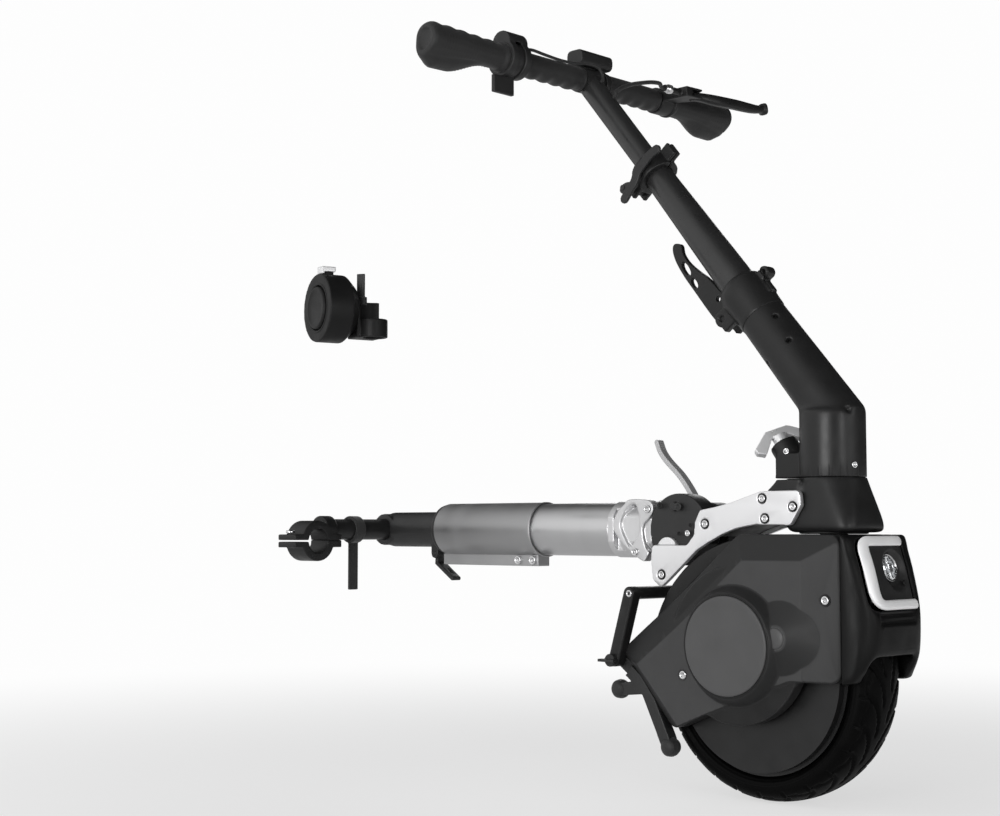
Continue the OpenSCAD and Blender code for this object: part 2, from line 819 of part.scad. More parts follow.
module rear_frame() {
    color([0.1, 0.1, 0.1]) translate([0, 0, axle_z]) union() {
        both() difference() {
            side(-frame_y - frame_t, -frame_y) link(frame_pivot, frame_top, frame_r);
            translate([frame_pivot.x, 0, frame_pivot.y]) rod_y(wing_r + run_gap, -casing_w, 0);
        }
        translate([frame_top.x, 0, frame_top.y]) rod_y(frame_bar_r, -frame_y - overrun, frame_y + overrun);
    }
}
module wing_screws() {
    y1 = frame_y + frame_t;
    color([0.08, 0.08, 0.08]) both() translate([frame_pivot.x, 0, axle_z + frame_pivot.y]) {
        rod_y(wing_r, -y1, -foot_y);
        rod_y(wing_r + wing_t, -y1 - wing_l / 2, -y1 - run_gap);
        translate([-wing_span, -y1 - wing_l, -wing_t / 2]) cube([2 * wing_span, wing_l / 2, wing_t]);
    }
}

// steering head

module bolt_places() { for (q = bolt_shares) translate([q.x * plate_reach, 0, q.y * plate_rise]) children(); }
module plate_half() {
    at_hinge() difference() {
        union() {
            side(-plate_y, -plate_in)
                polygon(rounded([for (q = plate_shares) [q.x * plate_reach, q.y * plate_rise]], plate_round));
            translate([latch_shares.x * plate_reach, 0, latch_shares.y * plate_rise])
                rod_y(latch_r, -plate_y + plate_t / 2, -plate_in + latch_t);
        }
        bolt_places() {
            rod_y(bolt_r, -plate_y - overrun, 0);
            rod_y(bolt_head_r, -plate_y - overrun, -plate_y + bolt_head_h);
        }
    }
}
module right_plate() { color([0.86, 0.86, 0.86]) plate_half(); }
module left_plate() { color([0.86, 0.86, 0.86]) mirror([0, 1, 0]) plate_half(); }
module plate_bolts() {
    color([0.7, 0.7, 0.7]) both() at_hinge() bolt_places() {
        difference() {
            rod_y(bolt_head_r, -plate_y, -plate_y + bolt_head_h);
            rod_y(bolt_r * socket_share, -plate_y - overrun, -plate_y + bolt_head_h / 2, $fn = 6);
        }
        rod_y(bolt_r, -plate_y + bolt_head_h, -plate_in);
    }
}
module hinge_discs() {
    color([0.1, 0.1, 0.1]) {
        hinge_disc(disc_r);
        mirror([0, 1, 0]) hinge_disc(far_disc_r);
    }
}
// a hinge disc of radius r, drawn on the right
module hinge_disc(r) {
    at_hinge() difference() {
        union() {
            rod_y(r, -plate_in, -disc_in, $fn = 64);
            translate([knuckle_shares.x * plate_reach, 0, knuckle_shares.y * plate_rise])
                rod_y(knuckle_r, -plate_in - knuckle_r, -plate_in);
        }
        rod_y(pin_r + run_gap, -plate_in + pin_cover, 0);
        translate([latch_shares.x * plate_reach, 0, latch_shares.y * plate_rise])
            rod_y(latch_r, -plate_y, -plate_in + latch_t);
        translate([-release_back, 0, release_rise]) rod_y(release_pin_r + run_gap, -plate_in + latch_t, 0);
        translate([-hinge_x, 0, axle_z - hinge_z]) rod_y(dome_r + disc_clear, -plate_y, 0, $fn = 96);
    }
}
module neck_base() {
    color([0.1, 0.1, 0.1]) difference() {
        union() {
            hull() {
                at_steer(base_z) linear_extrude(base_foot_h)
                    polygon(rounded(rect([-base_half_w, -base_half_w], [base_l, base_half_w]), base_round));
                at_steer(neck_z - base_foot_h) cylinder(r = neck_r, h = base_foot_h);
            }
            at_hinge() side(-plate_in, plate_in)
                polygon([for (q = core_shares) [q.x * plate_reach, q.y * plate_rise]]);
        }
        both() at_hinge() translate([0, -casing_w - plate_in, -casing_w])
            cube([casing_w, casing_w, 2 * casing_w]);
        at_steer(base_z - overrun) cylinder(r = steerer_r + part_gap, h = base_h + 2 * overrun);
        at_steer(base_z - overrun) cylinder(r = cup_r, h = bearing_h + overrun);
        at_steer(neck_z - bearing_h) cylinder(r = cup_r, h = bearing_h + overrun);
        at_hinge() rod_y(disc_r + part_gap, -plate_y, plate_y, $fn = 64);
    }
}
module head_bearings() {
    color([0.6, 0.6, 0.62]) for (z = [base_z, neck_z - bearing_h]) at_steer(z) difference() {
        cylinder(r = cup_r, h = bearing_h);
        translate([0, 0, -overrun]) cylinder(r = steerer_r + run_gap, h = bearing_h + 2 * overrun);
    }
}
module release_lever() {
    color([0.6, 0.6, 0.62]) at_hinge() translate([-release_back, 0, release_rise]) union() {
        difference() {
            side(-release_w / 2, release_w / 2) {
                circle(release_eye_r);
                strip(concat([[0, 0]], release_run), release_t / 2);
            }
            side(-release_w, release_w) circle(release_pin_r);
        }
        rod_y(release_pin_r, -plate_in + latch_t, release_w / 2);
    }
}

// dock tube

module hinge_pin() { color([0.7, 0.7, 0.7]) at_hinge() rod_y(pin_r, -pin_end, pin_end); }
module fork_bolts(r, y0, y1) {
    for (q = fork_bolt_shares) translate([hinge_x - inner_front + q.x * fork_body, 0, hinge_z + q.y * fork_r])
        rod_y(r, y0, y1);
}
module end_fork() {
    x0 = hinge_x - inner_front;
    color([0.78, 0.78, 0.79]) difference() {
        union() {
            intersection() {
                at_tube() rod_x(fork_r + bead_h, x0, hinge_x);
                side(-cheek_y, cheek_y)
                    polygon([for (i = [len(fork_shares) - 1:-1:0])
                        [x0 + fork_shares[i].x * fork_body, hinge_z + fork_shares[i].y * fork_r]]);
            }
            at_tube() rod_x(tube_r - 2 * tube_wall - run_gap, x0 - spigot_l, x0 + overrun, $fn = 64);
            at_hinge() side(-tongue_y, tongue_y) {
                link([-inner_front + fork_body / 2, 0], [0, 0], tongue_neck);
                circle(tongue_r);
            }
        }
        at_hinge() both() rod_y(disc_r + fork_gap, -fork_r - bead_h, -tongue_y, $fn = 64);
        at_hinge() rod_y(pin_r, -fork_r, fork_r);
        both() translate([x0 + window_w, -fork_r - overrun, hinge_z - window_h / 2])
            cube([window_w, fork_r + overrun - cheek_y + window_in, window_h]);
        both() fork_bolts(bolt_r, -cheek_y - overrun, -tongue_y);
        at_hinge() translate([-release_back, 0, release_rise])
            rod_y(release_eye_r + release_pin_r, -release_w, release_w);
    }
}
module fork_screws() {
    color([0.8, 0.8, 0.8]) both() difference() {
        union() {
            fork_bolts(bolt_r, -cheek_y, -tongue_y - bolt_r);
            fork_bolts(bolt_head_r, -cheek_y - bolt_head_h, -cheek_y);
        }
        fork_bolts(bolt_r * socket_share, -cheek_y - 2 * bolt_head_h, -cheek_y - bolt_head_h / 2, $fn = 6);
    }
}
module inner_tube() {
    x1 = hinge_x - inner_front;
    r = tube_r - tube_wall - run_gap;
    color([0.72, 0.72, 0.73]) at_tube() difference() {
        rod_x(r, x1 - inner_l, x1, $fn = 64);
        rod_x(tube_r - 2 * tube_wall - run_gap, x1 - inner_l - overrun, x1 + overrun, $fn = 64);
    }
}
module outer_tube() {
    color([0.72, 0.72, 0.73]) at_tube() difference() {
        union() {
            rod_x(tube_r, sleeve_x, tube_x, $fn = 64);
            rod_x(tube_r + bead_h, tube_x - bead_w, tube_x, $fn = 64);
        }
        rod_x(tube_r - tube_wall, sleeve_x - overrun, tube_x + overrun, $fn = 64);
    }
}
module tube_rail() {
    x0 = sleeve_x - rail_back;
    l = tube_l - bead_w + rail_back;
    color([0.76, 0.76, 0.77]) difference() {
        translate([x0, -rail_w / 2, hinge_z - tube_r - rail_h + bead_h]) cube([l, rail_w, rail_h + bead_h]);
        at_tube() rod_x(tube_r, x0 - overrun, tube_x + overrun, $fn = 64);
        translate([x0 + l - rail_end, -rail_w, hinge_z - tube_r - rail_h])
            cube([rail_slit, 2 * rail_w, rail_h - bead_h]);
        rail_bolts(bolt_r, -rail_w, rail_w);
    }
}
module rail_bolts(r, y0, y1) {
    for (x = rail_screws_x) translate([tube_x - x, 0, hinge_z - tube_r - rail_h / 2 + bead_h])
        rod_y(r, y0, y1);
}
module dock_sleeve() {
    lug_x = sleeve_x - hook_x;
    color([0.09, 0.09, 0.09]) difference() {
        union() {
            at_tube() rod_x(sleeve_r, cross_x, sleeve_x, $fn = 64);
            at_tube() rod_x(tube_r, sleeve_x - bead_w, sleeve_x, $fn = 64);
            at_tube() rod_x(tube_r - tube_wall, sleeve_x - bead_w, sleeve_x + sleeve_plug, $fn = 64);
            at_cross() rod_y(eye_r, -eye_w / 2, eye_w / 2);
            both() translate([lug_x, 0, hinge_z - sleeve_r]) side(-hook_w / 2 - part_gap - hook_lug,
                -hook_w / 2 - part_gap) link([0, -hook_drop], [0, hook_drop], hook_eye_r);
        }
        at_cross() rod_y(cross_r, -eye_w, eye_w);
        at_tube() rod_x(sleeve_r - 2 * tube_wall, cross_x + eye_r + bead_w, sleeve_x + 2 * sleeve_plug);
        translate([lug_x, 0, hinge_z - sleeve_r - hook_drop]) {
            rod_y(hook_pin_r + run_gap, -sleeve_r, sleeve_r);
            rod_y(hook_eye_r + part_gap, -hook_w / 2 - part_gap, hook_w / 2 + part_gap);
        }
    }
}
module hook_lever() {
    color([0.06, 0.06, 0.06]) translate([sleeve_x - hook_x, 0, hinge_z - sleeve_r - hook_drop]) union() {
        difference() {
            side(-hook_w / 2, hook_w / 2) {
                circle(hook_eye_r);
                strip(concat([[0, 0]], hook_run), hook_t / 2);
            }
            translate([hook_run[1].x / 2, -hook_slot / 2, hook_run[1].y])
                cube([hook_run[1].x / 3, hook_slot, -hook_run[1].y]);
        }
        rod_y(hook_pin_r, -hook_w / 2 - part_gap - hook_lug, hook_w / 2 + part_gap + hook_lug);
    }
}
module cross_bar() {
    y1 = clamp_y - clamp_bore_r - clamp_wall + socket_in;
    color([0.09, 0.09, 0.09]) at_cross() rod_y(cross_r, -y1, y1);
}
module pull_tab() {
    color([0.05, 0.05, 0.05]) at_cross() translate([0, -tab_y, 0]) difference() {
        union() {
            rod_y(cross_r + tab_wall, -tab_w / 2, tab_w / 2);
            translate([-tab_t / 2, -tab_w / 2, -tab_l]) cube([tab_t, tab_w, tab_l - cross_r]);
        }
        rod_y(cross_r + run_gap, -tab_w, tab_w);
    }
}

// frame clamps, drawn on the right

module at_clamp() { translate([cross_x, -clamp_y, hinge_z - clamp_drop]) children(); }
module above_split() {
    translate([-clamp_l, -clamp_y, clamp_split / 2]) cube([2 * clamp_l, 2 * clamp_y, clamp_y]);
}
module clamp_body() {
    r = clamp_bore_r + clamp_wall;
    at_clamp() {
        rod_x(r, -clamp_l / 2, clamp_l / 2);
        translate([-clamp_l / 2, -r - clamp_ear, -clamp_ear_t])
            cube([clamp_l, 2 * (r + clamp_ear), 2 * clamp_ear_t]);
    }
}
module cap_bolt_places() {
    at_clamp() translate([0, -clamp_bore_r - clamp_wall - clamp_ear / 2, 0]) children();
}
module frame_clamps() {
    y1 = clamp_bore_r + clamp_wall;
    color([0.08, 0.08, 0.08]) both() difference() {
        union() {
            intersection() {
                clamp_body();
                at_clamp() above_split();
            }
            intersection() {
                at_cross() rod_y(cross_r + socket_wall, -clamp_y + clamp_bore_r, -clamp_y + y1 + socket_in);
                at_clamp() above_split();
            }
        }
        at_clamp() rod_x(clamp_bore_r, -clamp_l, clamp_l);
        at_cross() rod_y(cross_r, -clamp_y + y1 - socket_in, 0);
        cap_bolt_places() cylinder(r = cap_bolt_r, h = 2 * clamp_ear_t, center = true);
    }
}
module clamp_caps() {
    color([0.08, 0.08, 0.08]) both() difference() {
        intersection() {
            clamp_body();
            at_clamp() {
                translate([-clamp_l, -clamp_y, -clamp_y - clamp_split / 2])
                    cube([2 * clamp_l, 2 * clamp_y, clamp_y]);
                translate([-clamp_l, 0, -clamp_y + clamp_split / 2]) cube([2 * clamp_l, clamp_y, clamp_y]);
            }
        }
        at_clamp() rod_x(clamp_bore_r, -clamp_l, clamp_l);
        at_cross() rod_y(cross_r, -clamp_y + clamp_bore_r + clamp_wall - socket_in, 0);
        cap_bolt_places() cylinder(r = cap_bolt_r, h = 4 * clamp_ear_t, center = true);
    }
}
module dock_screws() {
    color([0.7, 0.7, 0.7]) {
        both() cap_bolt_places() {
            translate([0, 0, -clamp_ear_t]) cylinder(r = cap_bolt_r, h = 2 * clamp_ear_t);
            translate([0, 0, clamp_ear_t]) cylinder(r = cap_head_r, h = cap_head_h);
        }
        rail_bolts(bolt_r, -rail_w / 2, rail_w / 2);
        difference() {
            rail_bolts(bolt_head_r, -rail_w / 2 - bolt_head_h, -rail_w / 2);
            rail_bolts(bolt_r * socket_share, -rail_w, -rail_w / 2 - bolt_head_h / 2, $fn = 6);
        }
    }
}

// column

module neck() {
    color([0.1, 0.1, 0.1]) difference() {
        union() {
            at_steer(neck_z + part_gap) cylinder(r = neck_r, h = neck_h - part_gap);
            at_column(-neck_lap) cylinder(r1 = neck_bend_r, r2 = neck_tube_r, h = neck_tube_l + neck_lap);
            knob_frame() cylinder(r = knob_boss_r, h = knob_boss_l);
            translate([steer_x - knob_block_l, -knob_boss_r, neck_z + part_gap])
                cube([knob_block_l, 2 * knob_boss_r, knob_block_h]);
        }
        at_steer(neck_z) cylinder(r = steerer_r, h = steerer_top);
        at_column(neck_tube_l + collar_h - mid_in - mid_drop) cylinder(r = mid_r + run_gap, h = bar_s);
        knob_frame() translate([0, 0, knob_boss_l - knob_stem_l])
            cylinder(r = knob_stem_r + run_gap, h = bar_s);
    }
}
// the wing knob's axis, which points up and back
module knob_frame() {
    at_steer(neck_z + knob_rise) translate([-knob_back, 0, 0]) rotate([0, -knob_tilt, 0]) children();
}
// the drooping wings, with the middle of the knob at the origin
knob_outline = let (s = knob_span, t = s * knob_dip_share, d = knob_droop, b = knob_tip, r = knob_stem_r)
    [[-s, -d], [-t, -d - b], [-r, 0], [r, 0], [t, -d - b], [s, -d], [s, b - d], [r + b, knob_wing_h],
        [-r - b, knob_wing_h], [-s, b - d]];
module wing_knob() {
    z0 = knob_boss_l;
    color([0.75, 0.75, 0.76]) knob_frame() rotate([0, 0, knob_turn]) {
        translate([0, 0, z0 - knob_stem_l]) cylinder(r = knob_stem_r, h = 2 * knob_stem_l);
        translate([0, 0, z0 + knob_stem_l]) rotate([90, 0, 0]) translate([0, 0, -knob_wing_t / 2])
            linear_extrude(knob_wing_t) polygon(rounded(knob_outline, overrun));
    }
}
cam_x = -collar_r - collar_lug_r / 2;
cam_eye = lever_pin_r + column_wall;
module collar() {
    lug = collar_lug_w / 2;
    color([0.1, 0.1, 0.1]) at_column(neck_tube_l) difference() {
        union() {
            cylinder(r = collar_r, h = collar_h);
            translate([0, 0, cam_rise]) side(-lug, lug) {
                link([cam_x, 0], [-collar_r + collar_lug_r, 0], collar_lug_r);
                link([-cam_x, 0], [collar_r - collar_lug_r, 0], collar_lug_r);
            }
        }
        translate([0, 0, -overrun]) cylinder(r = mid_r + run_gap, h = collar_h + 2 * overrun);
        translate([0, -collar_slit / 2, -overrun]) cube([2 * collar_r, collar_slit, collar_h + 2 * overrun]);
        translate([cam_x, 0, cam_rise]) {
            rod_y(lever_pin_r + run_gap, -collar_r, collar_r);
            translate([cam_eye + part_gap - collar_r, -cam_w / 2 - part_gap, -collar_h])
                cube([collar_r, cam_w + 2 * part_gap, 2 * collar_h]);
        }
        translate([-cam_x, 0, cam_rise]) rod_y(lever_pin_r, -collar_r, collar_r);
    }
}
module cam_lever() {
    color([0.08, 0.08, 0.08]) at_column(neck_tube_l + cam_rise)
        translate([cam_x, 0, 0]) union() {
            difference() {
                side(-cam_w / 2, cam_w / 2) {
                    circle(cam_eye);
                    strip(concat([[0, 0]], [for (q = cam_shares) [q.x * cam_tip, q.y * cam_l]]), cam_t / 2);
                }
                for (s = cam_slot_shares) translate([-cam_tip - cam_t, -cam_t / 2, cam_l * s])
                    cube([2 * cam_t, cam_t, cam_l / 6]);
            }
            rod_y(lever_pin_r, -collar_lug_w / 2, collar_lug_w / 2);
        }
}
module mid_tube() {
    s0 = neck_tube_l + collar_h - mid_in;
    l = mid_in + mid_straight;
    color([0.12, 0.12, 0.12]) at_column(s0) difference() {
        union() {
            cylinder(r = mid_r, h = l);
            translate([0, 0, l]) cylinder(r1 = mid_r, r2 = mid_top_r, h = mid_top - clamp_h / 2 - s0 - l);
            cylinder(r = mid_top_r, h = mid_top - s0);
        }
        translate([0, 0, -overrun]) cylinder(r = stem_r + run_gap, h = mid_top);
    }
}
module upper_clamp() {
    color([0.08, 0.08, 0.08]) at_column(mid_top) difference() {
        union() {
            translate([0, 0, -clamp_h / 2]) cylinder(r = clamp_r, h = clamp_h);
            translate([-clamp_r - clamp_lug, -quick_w, -clamp_h / 2 + column_wall])
                cube([clamp_lug + clamp_r / 2, 2 * quick_w, clamp_h - 2 * column_wall]);
            translate([clamp_r / 2, -quick_w / 2, -clamp_h / 2 + column_wall])
                cube([clamp_r / 2 + clamp_lug, quick_w, clamp_h - 2 * column_wall]);
        }
        translate([0, 0, -clamp_h]) cylinder(r = mid_top_r, h = clamp_h);
        translate([0, 0, -overrun]) cylinder(r = stem_r + run_gap, h = clamp_h);
        translate([0, -collar_slit / 2, -clamp_h]) cube([2 * clamp_r, collar_slit, 2 * clamp_h]);
        translate([lever_pin_r + quick_t / 2 + part_gap - 2 * clamp_r - clamp_lug / 2,
            -quick_w / 2 - part_gap, -clamp_h])
            cube([clamp_r, quick_w + 2 * part_gap, 2 * clamp_h]);
        translate([-clamp_r - clamp_lug / 2, 0, 0]) rod_y(lever_pin_r + run_gap, -clamp_r, clamp_r);
    }
}
module clamp_lever() {
    color([0.06, 0.06, 0.06]) at_column(mid_top) translate([-clamp_r - clamp_lug / 2, 0, 0]) {
        side(-quick_w / 2, quick_w / 2) {
            circle(lever_pin_r + quick_t / 2);
            strip(concat([[0, 0]], quick_run), quick_t / 2);
        }
        rod_y(lever_pin_r, -quick_w, quick_w);
    }
}

// handlebar

module handlebar() {
    s0 = mid_top - stem_in;
    color([0.1, 0.1, 0.1]) difference() {
        union() {
            at_column(s0) cylinder(r = stem_r, h = bar_s - s0);
            at_bar() rod_y(bar_r, -bar_l / 2 + grip_cap, bar_l / 2 - grip_cap);
            at_bar() rod_y(tee_r, -tee_r, tee_r);
        }
        at_column(s0 - overrun) cylinder(r = stem_r - column_wall, h = bar_s - s0 - tee_r);
        at_bar() rod_y(bar_r - column_wall / 2, -bar_l, bar_l);
    }
}
module grips() {
    y1 = bar_l / 2;
    color([0.05, 0.05, 0.05]) at_bar() both() difference() {
        union() {
            translate([0, -y1, 0]) rotate([-90, 0, 0]) cylinder(r1 = grip_end_r, r2 = grip_r, h = grip_l);
            rod_y(grip_r + grip_flange, -y1 + grip_l - grip_cap, -y1 + grip_l);
        }
        rod_y(bar_r, -y1 + grip_cap, 0);
    }
    // rubber sleeves between the fittings
    color([0.05, 0.05, 0.05]) at_bar() difference() {
        union() {
            rod_y(pad_r, -throttle_y + throttle_w, -tee_r);
            rod_y(pad_r, console_y + console_w * console_ring_share, brake_y);
        }
        rod_y(bar_r, -y1, y1);
    }
}
module throttle_housing() {
    y0 = -throttle_y;
    color([0.07, 0.07, 0.07]) at_bar() difference() {
        union() {
            rod_y(throttle_r, y0, y0 + throttle_w);
            translate([0, 0, hood_rise]) rod_y(hood_r, y0, y0 + throttle_w);
        }
        rod_y(bar_r, -bar_l, 0);
        difference() {
            rod_y(throttle_r + overrun, y0 + throttle_w / 2 - paddle_neck, y0 + throttle_w / 2 + paddle_neck);
            rod_y(bar_r + throttle_in, -bar_l, 0);
        }
    }
}
module throttle_paddle() {
    ym = -throttle_y + throttle_w / 2;
    w = paddle_neck - part_gap;
    color([0.05, 0.05, 0.05]) at_bar() difference() {
        union() {
            rod_y(throttle_r - throttle_in, ym - w, ym + w);
            translate([-paddle_t / 2, ym - w, -paddle_r])
                cube([paddle_t, 2 * w, paddle_r - bar_r - throttle_in]);
            translate([-paddle_t / 2, ym - paddle_w / 2 - paddle_side, -paddle_r - paddle_h])
                cube([paddle_t, paddle_w, paddle_h]);
        }
        rod_y(bar_r + throttle_in + run_gap, -bar_l, 0);
    }
}
module console() {
    r = bar_r + console_ring;
    color([0.07, 0.07, 0.07]) at_bar() difference() {
        union() {
            translate([0, console_y, 0]) {
                side(-console_w / 2, console_w / 2)
                    polygon(rounded(rect([-console_d / 2, bar_r + console_rise],
                    [console_d / 2, bar_r + console_rise + console_h]), console_round));
                translate([-console_d / 4, console_w * (console_ring_share - console_foot_share), 0])
                    cube([console_d / 2, console_w * console_foot_share, r + console_rise]);
                translate([0, console_w * (console_ring_share - console_foot_share), 0])
                    rod_y(r, 0, console_w * console_foot_share);
            }
        }
        rod_y(bar_r, -bar_l, bar_l);
    }
}
module at_brake() { at_bar() translate([0, brake_y, lever_rise]) children(); }
module brake_bracket() {
    r = bar_r + bracket_ring;
    p = lever_pivot;
    color([0.12, 0.12, 0.12]) difference() {
        union() {
            at_bar() rod_y(r, brake_y, brake_y + bracket_w);
            at_brake() linear_extrude(bracket_t, center = true)
                polygon([[0, 0], [bracket_reach - barrel_r, 0],
                [bracket_reach + lever_w, 0], [p.x + lever_w, p.y + lever_w / 2], [p.x, p.y + lever_w],
                [grip_r + 2 * grip_flange, bracket_w], [0, bracket_w]]);
            at_brake() translate([bracket_reach, 0, 0]) rod_y(barrel_r, -barrel_l, overrun);
        }
        at_bar() rod_y(bar_r, -bar_l, bar_l);
        at_brake() translate([p.x, p.y, 0]) {
            cylinder(r = lever_pin_r + run_gap, h = 2 * bracket_t, center = true);
            translate([-lever_w, -lever_w, -bracket_t / 2 + lever_cheek - lever_gap])
                cube([3 * lever_w, 4 * lever_w, bracket_t - 2 * lever_cheek + 2 * lever_gap]);
        }
        at_brake() translate([bracket_reach, 0, 0]) rod_y(cable_r, -barrel_l - overrun, -barrel_l / 2);
    }
}
module brake_lever() {
    p = lever_pivot;
    q = lever_tip;
    color([0.08, 0.08, 0.08]) at_brake() {
        linear_extrude(bracket_t - 2 * lever_cheek, center = true)
            strip([p, lever_elbow, q], lever_w / 2 - lever_gap);
        translate([p.x, p.y, 0]) cylinder(r = lever_pin_r, h = bracket_t, center = true);
        translate([q.x, q.y, 0])
            cylinder(r = lever_w * half_share, h = lever_t + 2 * lever_cheek, center = true);
    }
}

// cables held at both ends

function route_dir(p, i) = unit(p[min(i + 1, len(p) - 1)] - p[max(i - 1, 0)]);
function ring(c, d, r) = let (u = unit(cross(d, abs(d.z) > 0.9 ? [1, 0, 0] : [0, 0, 1])), v = cross(d, u))
    [for (k = [0:cable_sides - 1]) c + r * (cos(360 * k / cable_sides) * u + sin(360 * k / cable_sides) * v)];
module cord(p, r) {
    n = cable_sides;
    m = len(p);
    polyhedron(points = [for (i = [0:m - 1]) each ring(p[i], route_dir(p, i), r)],
        faces = concat([[for (k = [0:n - 1]) k]], [[for (k = [n - 1:-1:0]) (m - 1) * n + k]],
            [for (i = [0:m - 2], k = [0:n - 1]) each [[i * n + k, (i + 1) * n + k, i * n + (k + 1) % n],
                [i * n + (k + 1) % n, (i + 1) * n + k, (i + 1) * n + (k + 1) % n]]]));
}
// a point ahead of the stem's front, d below the bar's axis along the column
function stem_front(y, d, ahead) = let (r = stem_r + ahead)
    [d * sin(lean) + r * cos(lean), y, r * sin(lean) - d * cos(lean)];
// a cord's last two points, square to the stem's front
function stem_end(y, d, r) = [stem_front(y, d, cord_gap + 2 * r), stem_front(y, d, cord_gap)];
function route(run, shares, y) = [for (i = [0:len(run) - 1]) [run[i].x, y * shares[i], run[i].y]];
module cables() {
    y0 = brake_y - barrel_l;
    y1 = throttle_w - throttle_y;
    color([0.03, 0.03, 0.03]) at_bar() {
        cord(concat([[bracket_reach, y0 + barrel_l / 3, lever_rise],
            [bracket_reach, y0 - barrel_r, lever_rise]], route(cable_run, cable_y_shares, brake_y),
            stem_end(0, cable_down, cable_r)), cable_r);
        cord(concat([[wire_start.x, y1 + cord_gap, wire_start.y],
            [wire_start.x, y1 + cord_gap + wire_r, wire_start.y]], route(wire_run, wire_y_shares, y1),
            stem_end(-wire_r, wire_down, wire_r)), wire_r);
    }
}

// remote on the chair's tube

module remote_body() {
    color([0.06, 0.06, 0.06]) at_remote() difference() {
        union() {
            translate([0, 0, -remote_d]) cylinder(r = remote_r, h = remote_d);
            translate([0, 0, -remote_d - remote_neck])
                cylinder(r1 = remote_neck_r, r2 = remote_r, h = remote_neck);
        }
        translate([0, 0, -button_h]) cylinder(r = button_r + button_gap, h = button_h + overrun);
    }
}
module remote_button() {
    color([0.12, 0.12, 0.12]) at_remote() translate([0, 0, -button_h + remote_lip / 2])
        cylinder(r = button_r, h = button_h - remote_lip / 2 + button_out);
}
module remote_bracket() {
    z0 = -remote_d - remote_neck;
    color([0.06, 0.06, 0.06]) at_remote() difference() {
        union() {
            translate([-rail_arm_t / 2, -rail_drop - rail_band_h / 2, z0 - rail_arm])
                cube([rail_side + rail_arm_t / 2, rail_drop + rail_band_h / 2 + rail_arm_t, rail_arm]);
            translate([rail_side, -rail_drop - rail_band_h / 2, z0 - rail_arm + rail_bore_r])
                rotate([-90, 0, 0]) cylinder(r = rail_bore_r + rail_band, h = rail_band_h);
        }
        translate([rail_side, -rail_drop - rail_band_h, z0 - rail_arm + rail_bore_r]) rotate([-90, 0, 0])
            cylinder(r = rail_bore_r, h = 2 * rail_band_h);
        translate([rail_side, -rail_drop + rail_band_h / 2, z0 - rail_arm + rail_bore_r]) rotate([-90, 0, 0])
            cylinder(r = rail_bore_r + rail_band, h = rail_drop + rail_arm_t);
    }
}
module remote_clip() {
    color([0.75, 0.75, 0.76]) at_remote() {
        translate([-clip_w / 2, remote_r, -clip_l - remote_lip]) cube([clip_w, clip_t, clip_l]);
        translate([rail_side / 2, rail_arm_t, -remote_d - remote_neck - flip_t - remote_lip])
            cube([flip_w, flip_l, flip_t]);
    }
}

frame_clamps();
clamp_caps();
dock_screws();
cross_bar();
dock_sleeve();
outer_tube();
tube_rail();
hook_lever();
pull_tab();
remote_body();
remote_bracket();
remote_clip();
remote_button();
inner_tube();
end_fork();
fork_screws();
hinge_pin();
hinge_discs();
right_plate();
left_plate();
plate_bolts();
release_lever();
neck_base();
head_bearings();
steerer();
neck();
collar();
wing_knob();
fork();
right_casing();
left_casing();
nose_cover();
badge_caps();
casing_screws();
lamp_bezel();
lamp_housing();
lamp_lens();
axle();
stator();
battery_packs();
foot_brackets();
feet();
rear_frame();
wing_screws();
tyre();
rim();
hub_covers();
wheel_bearings();
cam_lever();
mid_tube();
upper_clamp();
clamp_lever();
handlebar();
grips();
throttle_housing();
throttle_paddle();
console();
brake_bracket();
brake_lever();
cables();
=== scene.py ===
"""Looks for the wheelchair power assist: finishes for every CAD piece, softened
shells, the tyre's tread, the shaped grips and levers, light and camera."""

import json
import math

import bmesh
import bpy
import numpy as np
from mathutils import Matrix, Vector
from mathutils.bvhtree import BVHTree

